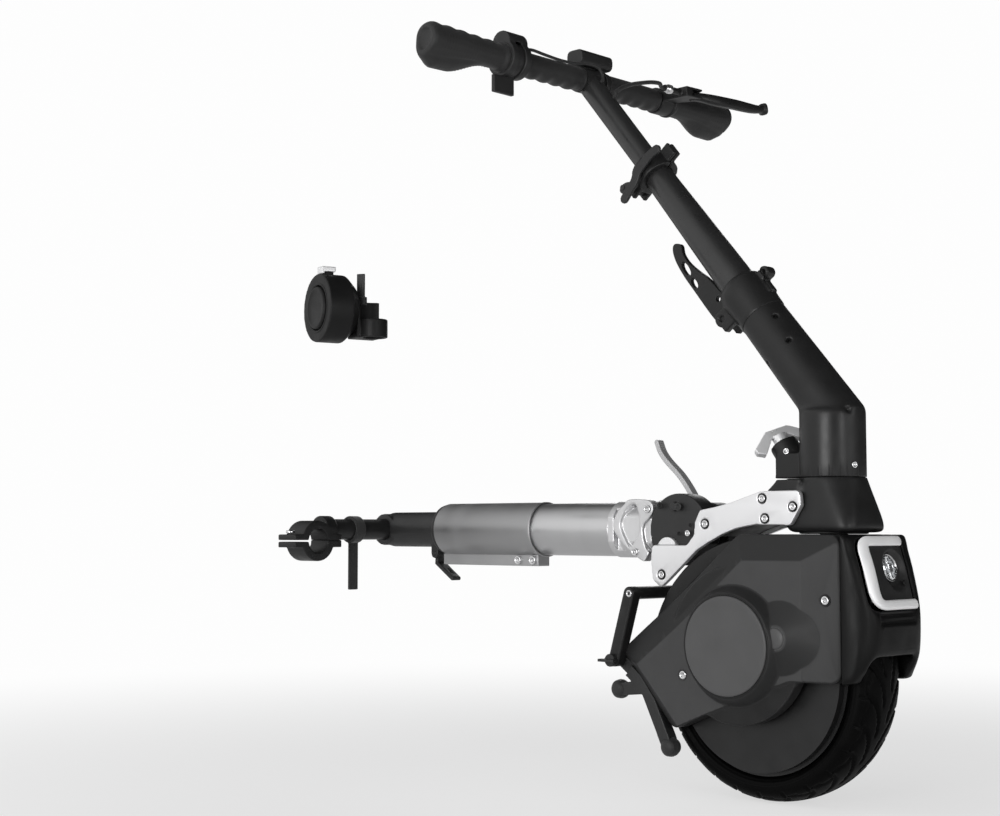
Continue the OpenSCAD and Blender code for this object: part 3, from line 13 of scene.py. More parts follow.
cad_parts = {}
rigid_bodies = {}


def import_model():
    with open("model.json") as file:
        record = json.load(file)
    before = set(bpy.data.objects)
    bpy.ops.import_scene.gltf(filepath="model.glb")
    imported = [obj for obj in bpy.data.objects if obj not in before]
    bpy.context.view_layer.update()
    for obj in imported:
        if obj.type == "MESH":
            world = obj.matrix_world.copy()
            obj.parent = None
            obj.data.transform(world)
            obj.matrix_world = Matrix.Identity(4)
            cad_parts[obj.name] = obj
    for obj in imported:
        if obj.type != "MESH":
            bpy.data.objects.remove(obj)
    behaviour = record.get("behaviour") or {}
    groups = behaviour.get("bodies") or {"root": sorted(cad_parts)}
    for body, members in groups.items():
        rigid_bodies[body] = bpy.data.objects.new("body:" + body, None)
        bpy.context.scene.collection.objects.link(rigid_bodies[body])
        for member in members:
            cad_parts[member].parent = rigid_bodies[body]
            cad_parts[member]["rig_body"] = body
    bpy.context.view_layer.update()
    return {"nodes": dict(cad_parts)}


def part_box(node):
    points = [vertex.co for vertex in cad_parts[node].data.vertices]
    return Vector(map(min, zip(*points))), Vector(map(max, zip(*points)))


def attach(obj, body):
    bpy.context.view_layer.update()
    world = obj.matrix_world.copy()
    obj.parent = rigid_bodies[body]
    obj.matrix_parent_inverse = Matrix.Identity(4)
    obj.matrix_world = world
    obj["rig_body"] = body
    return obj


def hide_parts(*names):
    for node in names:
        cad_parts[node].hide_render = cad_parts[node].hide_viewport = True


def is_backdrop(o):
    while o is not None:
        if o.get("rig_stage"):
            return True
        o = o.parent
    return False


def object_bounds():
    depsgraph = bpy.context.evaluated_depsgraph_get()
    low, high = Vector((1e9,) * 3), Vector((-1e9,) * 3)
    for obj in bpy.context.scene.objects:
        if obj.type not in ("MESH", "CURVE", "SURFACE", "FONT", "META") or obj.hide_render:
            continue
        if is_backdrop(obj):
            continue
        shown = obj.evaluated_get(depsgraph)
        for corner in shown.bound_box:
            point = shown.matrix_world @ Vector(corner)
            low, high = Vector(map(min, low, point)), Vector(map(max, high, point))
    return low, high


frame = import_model()
NODES = frame["nodes"]
SCENE = bpy.context.scene
MM = 0.001
SIDES = ((-1, "right"), (1, "left"))

# places in millimetres, as in the part's source
AXLE_Z = 134.0
DOCK_Z = 282.0
STEER_X = 72.0
COLUMN = 526.0
LEAN = math.radians(39.5)
BEND = Vector((STEER_X, 0.0, 405.0))
UP = Vector((-math.sin(LEAN), 0.0, math.cos(LEAN)))
FRONT = Vector((math.cos(LEAN), 0.0, math.sin(LEAN)))
LEFT = Vector((0.0, 1.0, 0.0))
BAR = BEND + UP * COLUMN
BAR_END = 263.0
GRIP_IN = 147.0

# the camera that took the photograph
EYE = Vector((1062.1, -1498.3, 282.2))
TURN = math.radians(44.46)
TILT = math.radians(4.05)
FOCAL = 1713.3
FRAME_W = 1000
FRAME_H = 816
SENSOR = 36.0
LOOK = Vector((-math.sin(TURN) * math.cos(TILT), math.cos(TURN) * math.cos(TILT), math.sin(TILT)))
RIGHT = Vector((math.cos(TURN), math.sin(TURN), 0.0))
ABOVE = RIGHT.cross(LOOK)


# materials

CLOUD_SCALE = 45.0
CLOUD_DETAIL = 4.0
CLOUD_RANGE = (0.3, 0.7)
GRAIN_DETAIL = 2.0
EDGE_RANGE = (0.52, 0.62)
FLAT_RANGE = (0.97, 0.998)
LEAST_ROUGH = 0.03
# how much lighter edges are drawn: partly wear, partly a painted highlight
WORN_HIGHLIGHT_GAIN = 2.2
WORN_HIGHLIGHT_LIFT = 0.02
LENS_SCALE = 160.0
# sockets of a node that mixes colours
MIX_SHARE = 0
MIX_A = 6
MIX_B = 7
MIX_RESULT = 2


class Graph:
    """A short way to add nodes to a material or world. A link is written as (node, output)."""

    def __init__(self, owner):
        owner.use_nodes = True
        self.tree = owner.node_tree
        self.tree.nodes.clear()

    def add(self, kind, inputs=None, **settings):
        """A new node, with a value or a link for each input that is named."""
        node = self.tree.nodes.new("ShaderNode" + kind)
        for key, value in settings.items():
            setattr(node, key, value)
        for key, value in (inputs or {}).items():
            if isinstance(value, tuple) and isinstance(value[0], bpy.types.Node):
                self.tree.links.new(value[0].outputs[value[1]], node.inputs[key])
            else:
                node.inputs[key].default_value = value
        return node

    def noise(self, vector, scale, detail):
        node = self.add("TexNoise", {"Vector": vector, "Scale": scale, "Detail": detail})
        return node, "Fac"

    def ramp(self, share, low, high, start=0.0, end=1.0):
        node = self.add("ValToRGB", {"Fac": share})
        for stop, colour, at in zip(node.color_ramp.elements, (low, high), (start, end)):
            stop.color = colour
            stop.position = at
        return node, "Color"

    def spread(self, value, start, end, low=0.0, high=1.0, **settings):
        """A value carried from one range to another."""
        node = self.add("MapRange", {
            "Value": value, "From Min": start, "From Max": end, "To Min": low, "To Max": high}, **settings)
        return node, "Result"

    def work(self, operation, *values):
        node = self.add("Math", dict(enumerate(values)), operation=operation)
        return node, "Value"

    def mix(self, share, a, b, **settings):
        sockets = {MIX_SHARE: share, MIX_A: a, MIX_B: b}
        return self.add("Mix", sockets, data_type="RGBA", **settings), MIX_RESULT


def shade(rgb, gain, lift=0.0):
    """A colour made darker or lighter, with its alpha."""
    return (*[min(1.0, c * gain + lift) for c in rgb], 1)


def grey(v):
    return (v, v, v * 1.01)


def material(name, rgb, rough, metal=0.0, vary=0.12, grain=2600.0, bump=0.12, depth=0.00012,
             stretch=(1, 1, 1), wear_and_edge_highlight=0.0, rough_vary=0.08, specular=0.35, sheen=0.0, tilt=0.0):
    """A moulded, painted or metal finish: cloudy colour, uneven gloss and a fine grain."""
    mat = bpy.data.materials.new(name)
    g = Graph(mat)
    spot = g.add("TexCoord")
    scale = g.add("Mapping", {"Vector": (spot, "Object"), "Scale": stretch})
    cloud = g.noise((scale, "Vector"), CLOUD_SCALE, CLOUD_DETAIL)
    colour = g.ramp(cloud, shade(rgb, 1 - vary), shade(rgb, 1 + vary), *CLOUD_RANGE)
    # edges are drawn lighter: partly wear, partly a painted highlight along them
    if wear_and_edge_highlight:
        edge = g.add("NewGeometry")
        band = g.spread((edge, "Pointiness"), *EDGE_RANGE, 0.0, wear_and_edge_highlight)
        colour = g.mix(band, colour, shade(rgb, WORN_HIGHLIGHT_GAIN, WORN_HIGHLIGHT_LIFT))
    if tilt:
        # painted shade: faces that lean away from the side are darker, for the shade that falls on the bevels
        split = g.add("SeparateXYZ", {"Vector": (spot, "Normal")})
        flat = g.work("ABSOLUTE", (split, "Y"))
        tilt_shade = g.spread(flat, *FLAT_RANGE, 1 - tilt)
        colour = g.mix(1.0, colour, tilt_shade, blend_type="MULTIPLY")
    smoothest = max(LEAST_ROUGH, rough - rough_vary)
    gloss = g.spread(cloud, *CLOUD_RANGE, smoothest, min(1.0, rough + rough_vary))
    fine = g.noise((scale, "Vector"), grain, GRAIN_DETAIL)
    lift = g.add("Bump", {"Strength": bump, "Distance": depth, "Height": fine})
    bsdf = g.add("BsdfPrincipled", {
        "Base Color": colour, "Metallic": metal, "Roughness": gloss, "Normal": (lift, "Normal"),
        "Specular IOR Level": specular, "Sheen Weight": sheen})
    g.add("OutputMaterial", {"Surface": (bsdf, "BSDF")})
    return mat


def glass(name):
    """A clear lens with a faintly uneven face."""
    mat = bpy.data.materials.new(name)
    g = Graph(mat)
    spot = g.add("TexCoord")
    flute = g.noise((spot, "Object"), LENS_SCALE, GRAIN_DETAIL)
    colour = g.ramp(flute, (0.88, 0.9, 0.92, 1), (0.97, 0.98, 0.99, 1))
    lift = g.add("Bump", {"Strength": 0.08, "Distance": 0.0003, "Height": flute})
    bsdf = g.add("BsdfPrincipled", {
        "Base Color": colour, "Roughness": 0.04, "Transmission Weight": 0.95, "IOR": 1.45,
        "Normal": (lift, "Normal")})
    g.add("OutputMaterial", {"Surface": (bsdf, "BSDF")})
    return mat


BRUSHED = dict(metal=1.0, vary=0.03, grain=1500, stretch=(1, 0.06, 0.06), rough_vary=0.05)
M = {
    # painted shade: tilt darkens the casing faces that lean away from the side
    "casing": material("casing_plastic", grey(0.054), 0.5, bump=0.2, wear_and_edge_highlight=0.08, vary=0.05, specular=0.2,
                       tilt=0.62),
    # partly painted shade: the nose is black plastic, drawn far darker than the casing for the shade on its
    # forward face
    "nose": material("nose_plastic_with_painted_shade", grey(0.004), 0.4, bump=0.15, wear_and_edge_highlight=0.12, vary=0.06, specular=0.15),
    "remote": material("remote_plastic", grey(0.010), 0.5, bump=0.15, wear_and_edge_highlight=0.2, vary=0.1, specular=0.2),
    "trim": material("trim_plastic", grey(0.020), 0.46, bump=0.25, wear_and_edge_highlight=0.2, vary=0.1),
    # painted shade: near-black for the fender over the tyre, which lies in shadow
    "fender": material("fender_plastic", grey(0.005), 0.34, bump=0.15, vary=0.08),
    "paint": material("black_coat", grey(0.014), 0.38, bump=0.1, wear_and_edge_highlight=0.15, vary=0.08, specular=0.28),
    "column": material("column_coat", grey(0.020), 0.33, bump=0.08, wear_and_edge_highlight=0.15, vary=0.06, specular=0.5),
    "badge": material("badge_plastic", grey(0.072), 0.44, bump=0.2, vary=0.05),
    # partly painted shade: the hub's dark coat is drawn darker than the casing for the casing's shadow over
    # the sunk hub
    "disc": material("hub_coat_with_painted_shade", grey(0.011), 0.36, vary=0.05),
    "rubber": material("soft_rubber", grey(0.019), 0.6, bump=0.35, grain=1800, vary=0.15, sheen=0.1),
    "tyre": material("tyre_rubber", grey(0.0016), 0.44, bump=0.25, grain=1500, vary=0.2, wear_and_edge_highlight=0.25,
                     specular=0.05),
    "alloy": material("satin_alloy", grey(0.42), 0.46, bump=0.08, **BRUSHED),
    "tube": material("bright_alloy", grey(0.58), 0.34, bump=0.06, **BRUSHED),
    "cast": material("cast_alloy", grey(0.64), 0.36, metal=0.7, vary=0.05, bump=0.03, grain=1600),
    "plate": material("bright_plate", grey(0.80), 0.34, metal=0.7, vary=0.02, grain=900,
                      stretch=(0.05, 1, 1), bump=0.02, rough_vary=0.04),
    "steel": material("bright_steel", grey(0.7), 0.2, metal=1.0, vary=0.05, bump=0.02),
    "lever": material("lever_steel", grey(0.5), 0.4, metal=0.5, vary=0.03, bump=0.0, rough_vary=0.03),
    "knob": material("polished_alloy", grey(0.85), 0.3, metal=0.4, vary=0.02, bump=0.0, rough_vary=0.03),
    "bezel": material("bezel_alloy", grey(0.98), 0.36, metal=0.1, vary=0.02, bump=0.004, grain=900,
                      specular=0.5),
    "chrome": material("reflector", grey(0.5), 0.06, metal=1.0, vary=0.02, bump=0.02, rough_vary=0.02),
    "copper": material("windings", (0.45, 0.26, 0.13), 0.4, metal=0.8, grain=900, bump=0.4),
    "cells": material("cell_wrap", (0.05, 0.12, 0.25), 0.4, bump=0.1),
    "strap": material("strap_weave", grey(0.02), 0.85, bump=0.8, grain=900, depth=0.0003, sheen=0.3),
    # dark parts such as the LED and small screw heads, and painted shade laid in the groove round the badge
    # and in the holes of the hinge discs
    "dark": material("dark_parts_and_recess_shade", grey(0.006), 0.6),
    "lens": glass("clear_lens"),
}

FINISH = {
    "casing": ["right_casing", "left_casing"],
    "nose": ["nose_cover"],
    "remote": ["remote_body", "remote_bracket"],
    "trim": ["dock_sleeve", "hook_lever", "hinge_discs", "foot_brackets", "wing_screws", "clamp_lever",
             "throttle_housing", "throttle_paddle", "console", "lamp_housing"],
    "paint": ["frame_clamps", "clamp_caps", "cross_bar", "neck_base", "neck", "collar", "fork",
              "upper_clamp", "rear_frame", "cam_lever", "brake_bracket", "brake_lever", "steerer"],
    "column": ["mid_tube", "handlebar"],
    "badge": ["badge_caps"],
    "disc": ["hub_covers", "rim"],
    "rubber": ["remote_button", "grips", "feet", "cables"],
    "tyre": ["tyre"],
    "alloy": ["outer_tube", "tube_rail"],
    "tube": ["inner_tube"],
    "cast": ["end_fork"],
    "knob": ["wing_knob"],
    "plate": ["right_plate", "left_plate"],
    "bezel": ["lamp_bezel"],
    "steel": ["dock_screws", "fork_screws", "hinge_pin", "plate_bolts", "casing_screws", "remote_clip",
              "axle", "head_bearings", "wheel_bearings"],
    "lever": ["release_lever"],
    "copper": ["stator"],
    "cells": ["battery_packs"],
    "strap": ["pull_tab"],
    "lens": ["lamp_lens"],
}
LOOKS = {node: key for key, nodes in FINISH.items() for node in nodes}

for node_name, node_obj in NODES.items():
    for slot in node_obj.material_slots:
        slot.link = "OBJECT"
        slot.material = M[LOOKS[node_name]]


# ways to make a piece

ASKEW = Vector((0.31, 0.17, 0.93))
MERGE = 2e-6
# a socket-head screw, in shares of its radius and height
SCREW_RIM = [(1.0, 0.55), (0.96, 0.82), (0.86, 1.0), (0.66, 1.0), (0.62, 0.92)]
SCREW_SOCKET = [(0.5, 0.9), (0.48, 0.35), (0.2, 0.3)]


def new_object(name, data):
    obj = bpy.data.objects.new(name, data)
    SCENE.collection.objects.link(obj)
    return obj


def place(name, mesh, look, node, hides=True, smooth=True):
    """A new piece in the part's frame that rides with a node's body, takes the given finish and hides the
    node unless told not to.
    """
    obj = new_object(name, mesh)
    mesh.name = name
    mesh.materials.clear()
    mesh.materials.append(M[look])
    mesh.polygons.foreach_set("use_smooth", [smooth] * len(mesh.polygons))
    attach(obj, NODES[node]["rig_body"])
    if hides:
        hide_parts(node)
    return obj


def step(a, b, x):
    """Rises smoothly from 0 at a to 1 at b."""
    t = max(0.0, min(1.0, (x - a) / (b - a)))
    return t * t * (3 - 2 * t)


def turns(n):
    """The angles of n even steps round a circle."""
    return [2 * math.pi * k / n for k in range(n)]


def build_mesh(verts, faces):
    """A mesh from points in millimetres, with its faces turned outwards."""
    mesh = bpy.data.meshes.new("piece")
    mesh.from_pydata([Vector(v) * MM for v in verts], [], faces)
    bm = bmesh.new()
    bm.from_mesh(mesh)
    bmesh.ops.recalc_face_normals(bm, faces=bm.faces)
    bm.to_mesh(mesh)
    bm.free()
    return mesh


def grid_mesh(rows, wrap_u=True, wrap_v=False, caps=False):
    """A quad mesh over rows of points. Rows close on themselves with wrap_u, last on first with wrap_v."""
    n = len(rows[0])
    m = len(rows)
    faces = []
    for j in range(m if wrap_v else m - 1):
        here = j * n
        there = (j + 1) % m * n
        for i in range(n if wrap_u else n - 1):
            k = (i + 1) % n
            faces.append((here + i, here + k, there + k, there + i))
    if caps:
        faces.append(tuple(range(n - 1, -1, -1)))
        faces.append(tuple((m - 1) * n + i for i in range(n)))
    return build_mesh([p for row in rows for p in row], faces)


def box_at(point, lo, hi):
    """A box in a frame given by a point function."""
    corners = [(x, y, z) for x in (lo[0], hi[0]) for y in (lo[1], hi[1]) for z in (lo[2], hi[2])]
    faces = [(0, 1, 3, 2), (4, 6, 7, 5), (0, 4, 5, 1), (2, 3, 7, 6), (0, 2, 6, 4), (1, 5, 7, 3)]
    return build_mesh([point(*c) for c in corners], faces)


def block(lo, hi):
    return box_at(lambda *p: p, lo, hi)


def round_axis(axis):
    """Unit vectors along an axis and square to it."""
    axis = Vector(axis).normalized()
    u = axis.cross(ASKEW).normalized()
    return axis, u, axis.cross(u)


def lathe(at, axis, profile, count=64, hex_from=None):
    """A turned solid along an axis from (radius, distance) points, six-sided from hex_from on."""
    axis, u, v = round_axis(axis)
    rows = []
    for j, (r, d) in enumerate(profile):
        row = []
        for t in turns(count):
            q = r
            if hex_from is not None and j >= hex_from:
                s = (t + math.pi / 6) % (math.pi / 3) - math.pi / 6
                q = r * math.cos(math.pi / 6) / math.cos(s)
            row.append(Vector(at) + axis * d + u * (q * math.cos(t)) + v * (q * math.sin(t)))
        rows.append(row)
    return grid_mesh(rows, caps=True)


def ring_solid(at, axis, profile, count=64):
    """A turned ring: the profile closes on itself."""
    axis, u, v = round_axis(axis)
    spokes = [u * math.cos(t) + v * math.sin(t) for t in turns(count)]
    rows = [[Vector(at) + axis * d + spoke * r for r, d in profile] for spoke in spokes]
    return grid_mesh(rows, wrap_v=True)


def rod(at, axis, r, length):
    return lathe(at, axis, [(r, 0), (r, length)])


def smooth_path(points, steps, closed=False):
    """Points on a Catmull-Rom curve through the given ones."""
    p = [Vector(q) for q in points]
    if closed:
        p = [p[-1]] + p + [p[0], p[1]]
    else:
        p = [p[0] * 2 - p[1]] + p + [p[-1] * 2 - p[-2]]
    out = []
    for a, b, c, d in zip(p, p[1:], p[2:], p[3:]):
        for k in range(steps):
            t = k / steps
            out.append(0.5 * ((2 * b) + (c - a) * t + (2 * a - 5 * b + 4 * c - d) * t * t
                              + (3 * b - a - 3 * c + d) * t ** 3))
    if not closed:
        out.append(p[-2])
    return out


def heading(path, i):
    """The direction of a path at one of its points."""
    return (path[min(i + 1, len(path) - 1)] - path[max(i - 1, 0)]).normalized()


def sweep(path, sections, hint=Vector((0, 0, 1))):
    """Rows of points for a section carried along a path. Each section is a list of (across, up)."""
    rows = []
    for i, p in enumerate(path):
        d = heading(path, i)
        across = d.cross(hint).normalized()
        up = across.cross(d).normalized()
        rows.append([p + across * a + up * b for a, b in sections[i]])
    return rows


def oval(rx, ry, n, power=2.0):
    """A closed rounded section, square-ish for a larger power."""
    out = []
    for t in turns(n):
        c = math.cos(t)
        s = math.sin(t)
        x = rx * math.copysign(abs(c) ** (2 / power), c)
        out.append((x, ry * math.copysign(abs(s) ** (2 / power), s)))
    return out


def ellipse(x, z, a, b, tilt):
    """The outline of an ellipse whose long axis is tilted by some degrees."""
    c = math.cos(math.radians(tilt))
    s = math.sin(math.radians(tilt))
    return [(x + a * math.cos(t) * c - b * math.sin(t) * s, z + a * math.cos(t) * s + b * math.sin(t) * c)
            for t in turns(16)]


def curved(points, steps=5):
    """A closed outline that runs smoothly through some points."""
    return smooth_path(points, steps, closed=True)


def ribbon(points, half):
    """The outline of a band of even width with round ends."""
    path = smooth_path(points, 5)

    def square(d):
        return Vector((-d.y, d.x))

    def cap(p, d):
        angles = (0.5, 1.1, math.pi / 2, 2.0, 2.6)
        return [p + (square(d) * math.cos(t) + d * math.sin(t)) * half for t in angles]

    left = [p + square(heading(path, i)) * half for i, p in enumerate(path)]
    right = [p - square(heading(path, i)) * half for i, p in enumerate(path)]
    ring = left + cap(path[-1], (path[-1] - path[-2]).normalized()) + right[::-1]
    return ring + cap(path[0], (path[0] - path[1]).normalized())


def rounded_outline(points, radii, steps=6):
    """A closed outline with each corner rounded by its own radius."""
    n = len(points)
    out = []
    for i, r in enumerate(radii):
        a, b, c = (Vector(points[(i + k) % n]) for k in (-1, 0, 1))
        if r <= 0:
            out.append(b)
            continue
        u = (a - b).normalized()
        v = (c - b).normalized()
        half = math.acos(u.dot(v)) / 2
        reach = min(r / math.tan(half), 0.48 * (a - b).length, 0.48 * (c - b).length)
        p = b + u * reach
        q = b + v * reach
        for k in range(steps + 1):
            t = k / steps
            out.append((1 - t) ** 2 * p + 2 * t * (1 - t) * b + t * t * q)
    return out


def evaluated(data, *steps):
    """A mesh from a mesh or curve after a row of modifiers, each (type, settings)."""
    work = new_object("work", data)
    for kind, values in steps:
        mod = work.modifiers.new(kind, kind)
        for key, value in values.items():
            setattr(mod, key, value)
    graph = bpy.context.evaluated_depsgraph_get()
    out = bpy.data.meshes.new_from_object(work.evaluated_get(graph), depsgraph=graph)
    bpy.data.objects.remove(work)
    return out


def plate(outline, holes, y0, y1, bevel):
    """A flat piece in the X-Z plane from y0 to y1 with eased edges. Outlines are lists of (x, z)."""
    curve = bpy.data.curves.new("plate", "CURVE")
    curve.dimensions = "2D"
    curve.fill_mode = "BOTH"
    curve.extrude = max(0.0, (y1 - y0) / 2 - bevel) * MM
    curve.bevel_depth = bevel * MM
    curve.bevel_resolution = 3
    curve.offset = -bevel * MM
    for ring in [outline] + holes:
        spline = curve.splines.new("POLY")
        spline.points.add(len(ring) - 1)
        for point, q in zip(spline.points, ring):
            point.co = (q[0] * MM, q[1] * MM, 0, 1)
        spline.use_cyclic_u = True
    mesh = evaluated(curve)
    bpy.data.curves.remove(curve)
    for v in mesh.vertices:
        x, z, d = v.co
        v.co = (x, (y0 + y1) / 2 * MM - d, z)
    return mesh


def joined(*meshes):
    """One mesh from several."""
    bm = bmesh.new()
    for m in meshes:
        bm.from_mesh(m)
    out = bpy.data.meshes.new("joined")
    bm.to_mesh(out)
    bm.free()
    return out


def ease(mesh, rounds, weight=None):
    """Smooths a mesh. weight gives each point's share of the move."""
    n = len(mesh.vertices)
    p = np.empty(n * 3)
    mesh.vertices.foreach_get("co", p)
    p = p.reshape(-1, 3)
    ends = np.empty(len(mesh.edges) * 2, dtype=np.int64)
    mesh.edges.foreach_get("vertices", ends)
    a = ends[0::2]
    b = ends[1::2]
    degree = np.maximum(1, np.bincount(ends, minlength=n)).astype(float)
    share = np.ones(n) if weight is None else np.array([weight(*(q / MM)) for q in p])
    for _ in range(rounds):
        for c in range(3):
            near = (np.bincount(a, p[b, c], n) + np.bincount(b, p[a, c], n)) / degree
            p[:, c] += 0.5 * share * (near - p[:, c])
    mesh.vertices.foreach_set("co", p.reshape(-1))
    mesh.update()


def remade(mesh, voxel, rounds, keep=1.0, weight=None, extra=0, hold=None):
    """A solid made again as one skin with eased edges, then thinned to a share of its faces.
    hold and weight give each point's share of the first rounds and of the extra ones."""
    out = evaluated(mesh, ("REMESH", dict(mode="VOXEL", voxel_size=voxel * MM)))
    ease(out, rounds, hold)
    if extra:
        ease(out, extra, weight)
    if keep < 1:
        out = evaluated(out, ("DECIMATE", dict(ratio=keep)))
    return out


def welded(mesh):
    """A mesh to work on, with its double points joined."""
    bm = bmesh.new()
    bm.from_mesh(mesh)
    bmesh.ops.remove_doubles(bm, verts=bm.verts, dist=MERGE)
    return bm


def cut(mesh, *tools):
    """The mesh less some solids."""
    bm = welded(mesh)
    base = bpy.data.meshes.new("cut")
    bm.to_mesh(base)
    bm.free()
    objs = [new_object("tool", tool) for tool in tools]
    steps = [("BOOLEAN", dict(operation="DIFFERENCE", solver="EXACT", object=obj)) for obj in objs]
    out = evaluated(base, *steps)
    for obj in objs:
        bpy.data.objects.remove(obj)
    return out


def bend(mesh, warp):
    """Moves each point of a mesh by a function in millimetres."""
    for v in mesh.vertices:
        v.co = warp(v.co / MM) * MM
    mesh.update()


def soften(node, voxel, rounds, keep, add=(), cuts=(), warp=None, swell=0.0, **easing):
    """A CAD piece with its edges eased as on a moulding or a casting."""
    mesh = joined(NODES[node].data, *add)
    if cuts:
        mesh = cut(mesh, *cuts)
    mesh = remade(mesh, voxel, rounds, keep, **easing)
    if warp:
        bend(mesh, warp)
    if swell:
        out = [v.normal.copy() for v in mesh.vertices]
        for v, n in zip(mesh.vertices, out):
            v.co += n * swell * MM
    return place(node + "_skin", mesh, LOOKS[node], node)


def seen(pixel, *nodes):
    """Where the photograph's pixel first meets one of some CAD pieces: point, facing direction and node."""
    across = (pixel[0] - FRAME_W / 2) / FOCAL
    down = (pixel[1] - FRAME_H / 2) / FOCAL
    ray = (LOOK + RIGHT * across - ABOVE * down).normalized()
    found = []
    for node in nodes:
        data = NODES[node].data
        tree = BVHTree.FromPolygons([v.co / MM for v in data.vertices], [p.vertices for p in data.polygons])
        hit, normal, _, far = tree.ray_cast(EYE, ray)
        if hit is not None:
            found.append((far, hit, -normal if normal.dot(ray) > 0 else normal, node))
    return min(found, key=lambda f: f[0])[1:]


def islands(node):
    """The boxes of a CAD node's separate solids, in millimetres."""
    bm = welded(NODES[node].data)
    left = set(bm.verts)
    boxes = []
    while left:
        stack = [left.pop()]
        lo = stack[0].co.copy()
        hi = stack[0].co.copy()
        while stack:
            v = stack.pop()
            lo = Vector(map(min, lo, v.co))
            hi = Vector(map(max, hi, v.co))
            for e in v.link_edges:
                other = e.other_vert(v)
                if other in left:
                    left.remove(other)
                    stack.append(other)
        boxes.append((lo / MM, hi / MM))
    bm.free()
    return sorted(boxes, key=lambda b: tuple(b[0]))


def screw(name, at, axis, r, h, node, look="steel", hides=True):
    """A socket-head screw: domed edge, ring face and a hexagon socket."""
    head = [(r * 0.96, -0.4), (r, 0.3)] + [(r * a, h * b) for a, b in SCREW_RIM]
    socket = [(r * a, h * b) for a, b in SCREW_SOCKET]
    place(name, lathe(at, axis, head + socket, 36, hex_from=len(head)), look, node, hides)


def box_mm(node):
    """The corners of a CAD piece's box, in millimetres."""
    lo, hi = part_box(node)
    return Vector(lo) / MM, Vector(hi) / MM


# casing: the skirt runs on past the hump, which rises as a cone to its cap

BADGE = (-9, 0, 163)
BADGE_CONE = [(64, 59), (54.6, 77.4)]
BADGE_FACE = [(51.2, 76), (51.2, 79), (50.6, 79.8), (49.8, 80), (46, 79.7), (20, 79.4), (4, 79.4)]
BADGE_GAP = [(50.9, 76.6), (53.6, 76.6), (53.4, 78.1), (50.9, 78.3)]
HUMP = (49, 0, 173)
HUMP_CONE = [(48, 60), (13.5, 73.4)]
HUMP_FACE = [(11.8, 72.4), (11.8, 73.6), (11.2, 73.9), (10.9, 73.1), (10.4, 73.1), (10.2, 74.3),
             (9.6, 74.7), (2, 74.9)]
CORNER = [(-158, 151), (-126, 177.2), (-118, 150), (-139.4, 128.6)]
CORNER_ROUND = [4, 0, 0, 0]
CORNER_Y = (41, 56)
REACH = 7.0
FENDER_Y = 40.8
DRUM_R = 83.5
DRUM_IN = 61.0
DRUM_OUT = 63.0
FACING = 0.97
CASING_KEEP = {"right": 0.13, "left": 0.08}


def rear_reach(p):
    """Draws the rear corner of the side shell out a little and leaves the fender where it is."""
    return Vector((p.x - REACH * step(-70, -160, p.x) * step(40.0, 45.0, abs(p.y)), p.y, p.z))


def is_darkened(poly):
    """True on the fender over the tyre, which is darkened as painted shade, and on the face of the drum,
    which takes the same dark colour.
    """
    x, y, z = poly.center / MM
    drum = math.hypot(x - BADGE[0], z - BADGE[2]) < DRUM_R and DRUM_IN < abs(y) < DRUM_OUT
    return abs(y) < FENDER_Y or (drum and abs(poly.normal.y) > FACING)


def make_casing(side, tag):
    axis = (0, side, 0)
    y0, y1 = sorted(side * y for y in CORNER_Y)
    added = [lathe(BADGE, axis, BADGE_CONE, 96), lathe(HUMP, axis, HUMP_CONE, 96),
             plate(rounded_outline(CORNER, CORNER_ROUND), [], y0, y1, 1.5)]
    shell = soften(tag + "_casing", 1.1, 2, CASING_KEEP[tag], add=added, warp=rear_reach)
    # painted shade: the fender over the tyre takes a far darker colour than the casing
    shell.data.materials.append(M["fender"])
    for poly in shell.data.polygons:
        if is_darkened(poly):
            poly.material_index = 1
    place(tag + "_badge", lathe(BADGE, axis, BADGE_FACE, 96), "badge", "badge_caps")
    # painted shade: a dark ring laid in the groove round the badge
    gap = ring_solid(BADGE, axis, BADGE_GAP, 96)
    place(tag + "_badge_gap", gap, "dark", "badge_caps", hides=False)
    place(tag + "_hump_cap", lathe(HUMP, axis, HUMP_FACE, 48), "badge", "badge_caps", hides=False)


for side, tag in SIDES:
    make_casing(side, tag)


# nose and lamp: the nose bows forward and turns back at its sides, and the lamp follows it

NOSE_X = 116.0
NOSE_DEEP = 27.0
NOSE_BOW = 5.5
NOSE_SIDE = 3.5
NOSE_SHOULDER = 7.0
NOSE_BROW = 6.0
NOSE_FOOT = 8.0
NOSE_LIP = 2.2
NOSE_LEGS = [((117, -56, 131), (134, -39.5, 172)), ((117, 39.5, 131), (134, 56, 172))]
LAMP_Z = 238.6
LAMP_AT = Vector((136.1, -4.0, LAMP_Z))
LAMP_OUT = Vector((0.9894, 0.0, 0.1454))
LAMP_UP = Vector((-0.1454, 0.0, 0.9894))
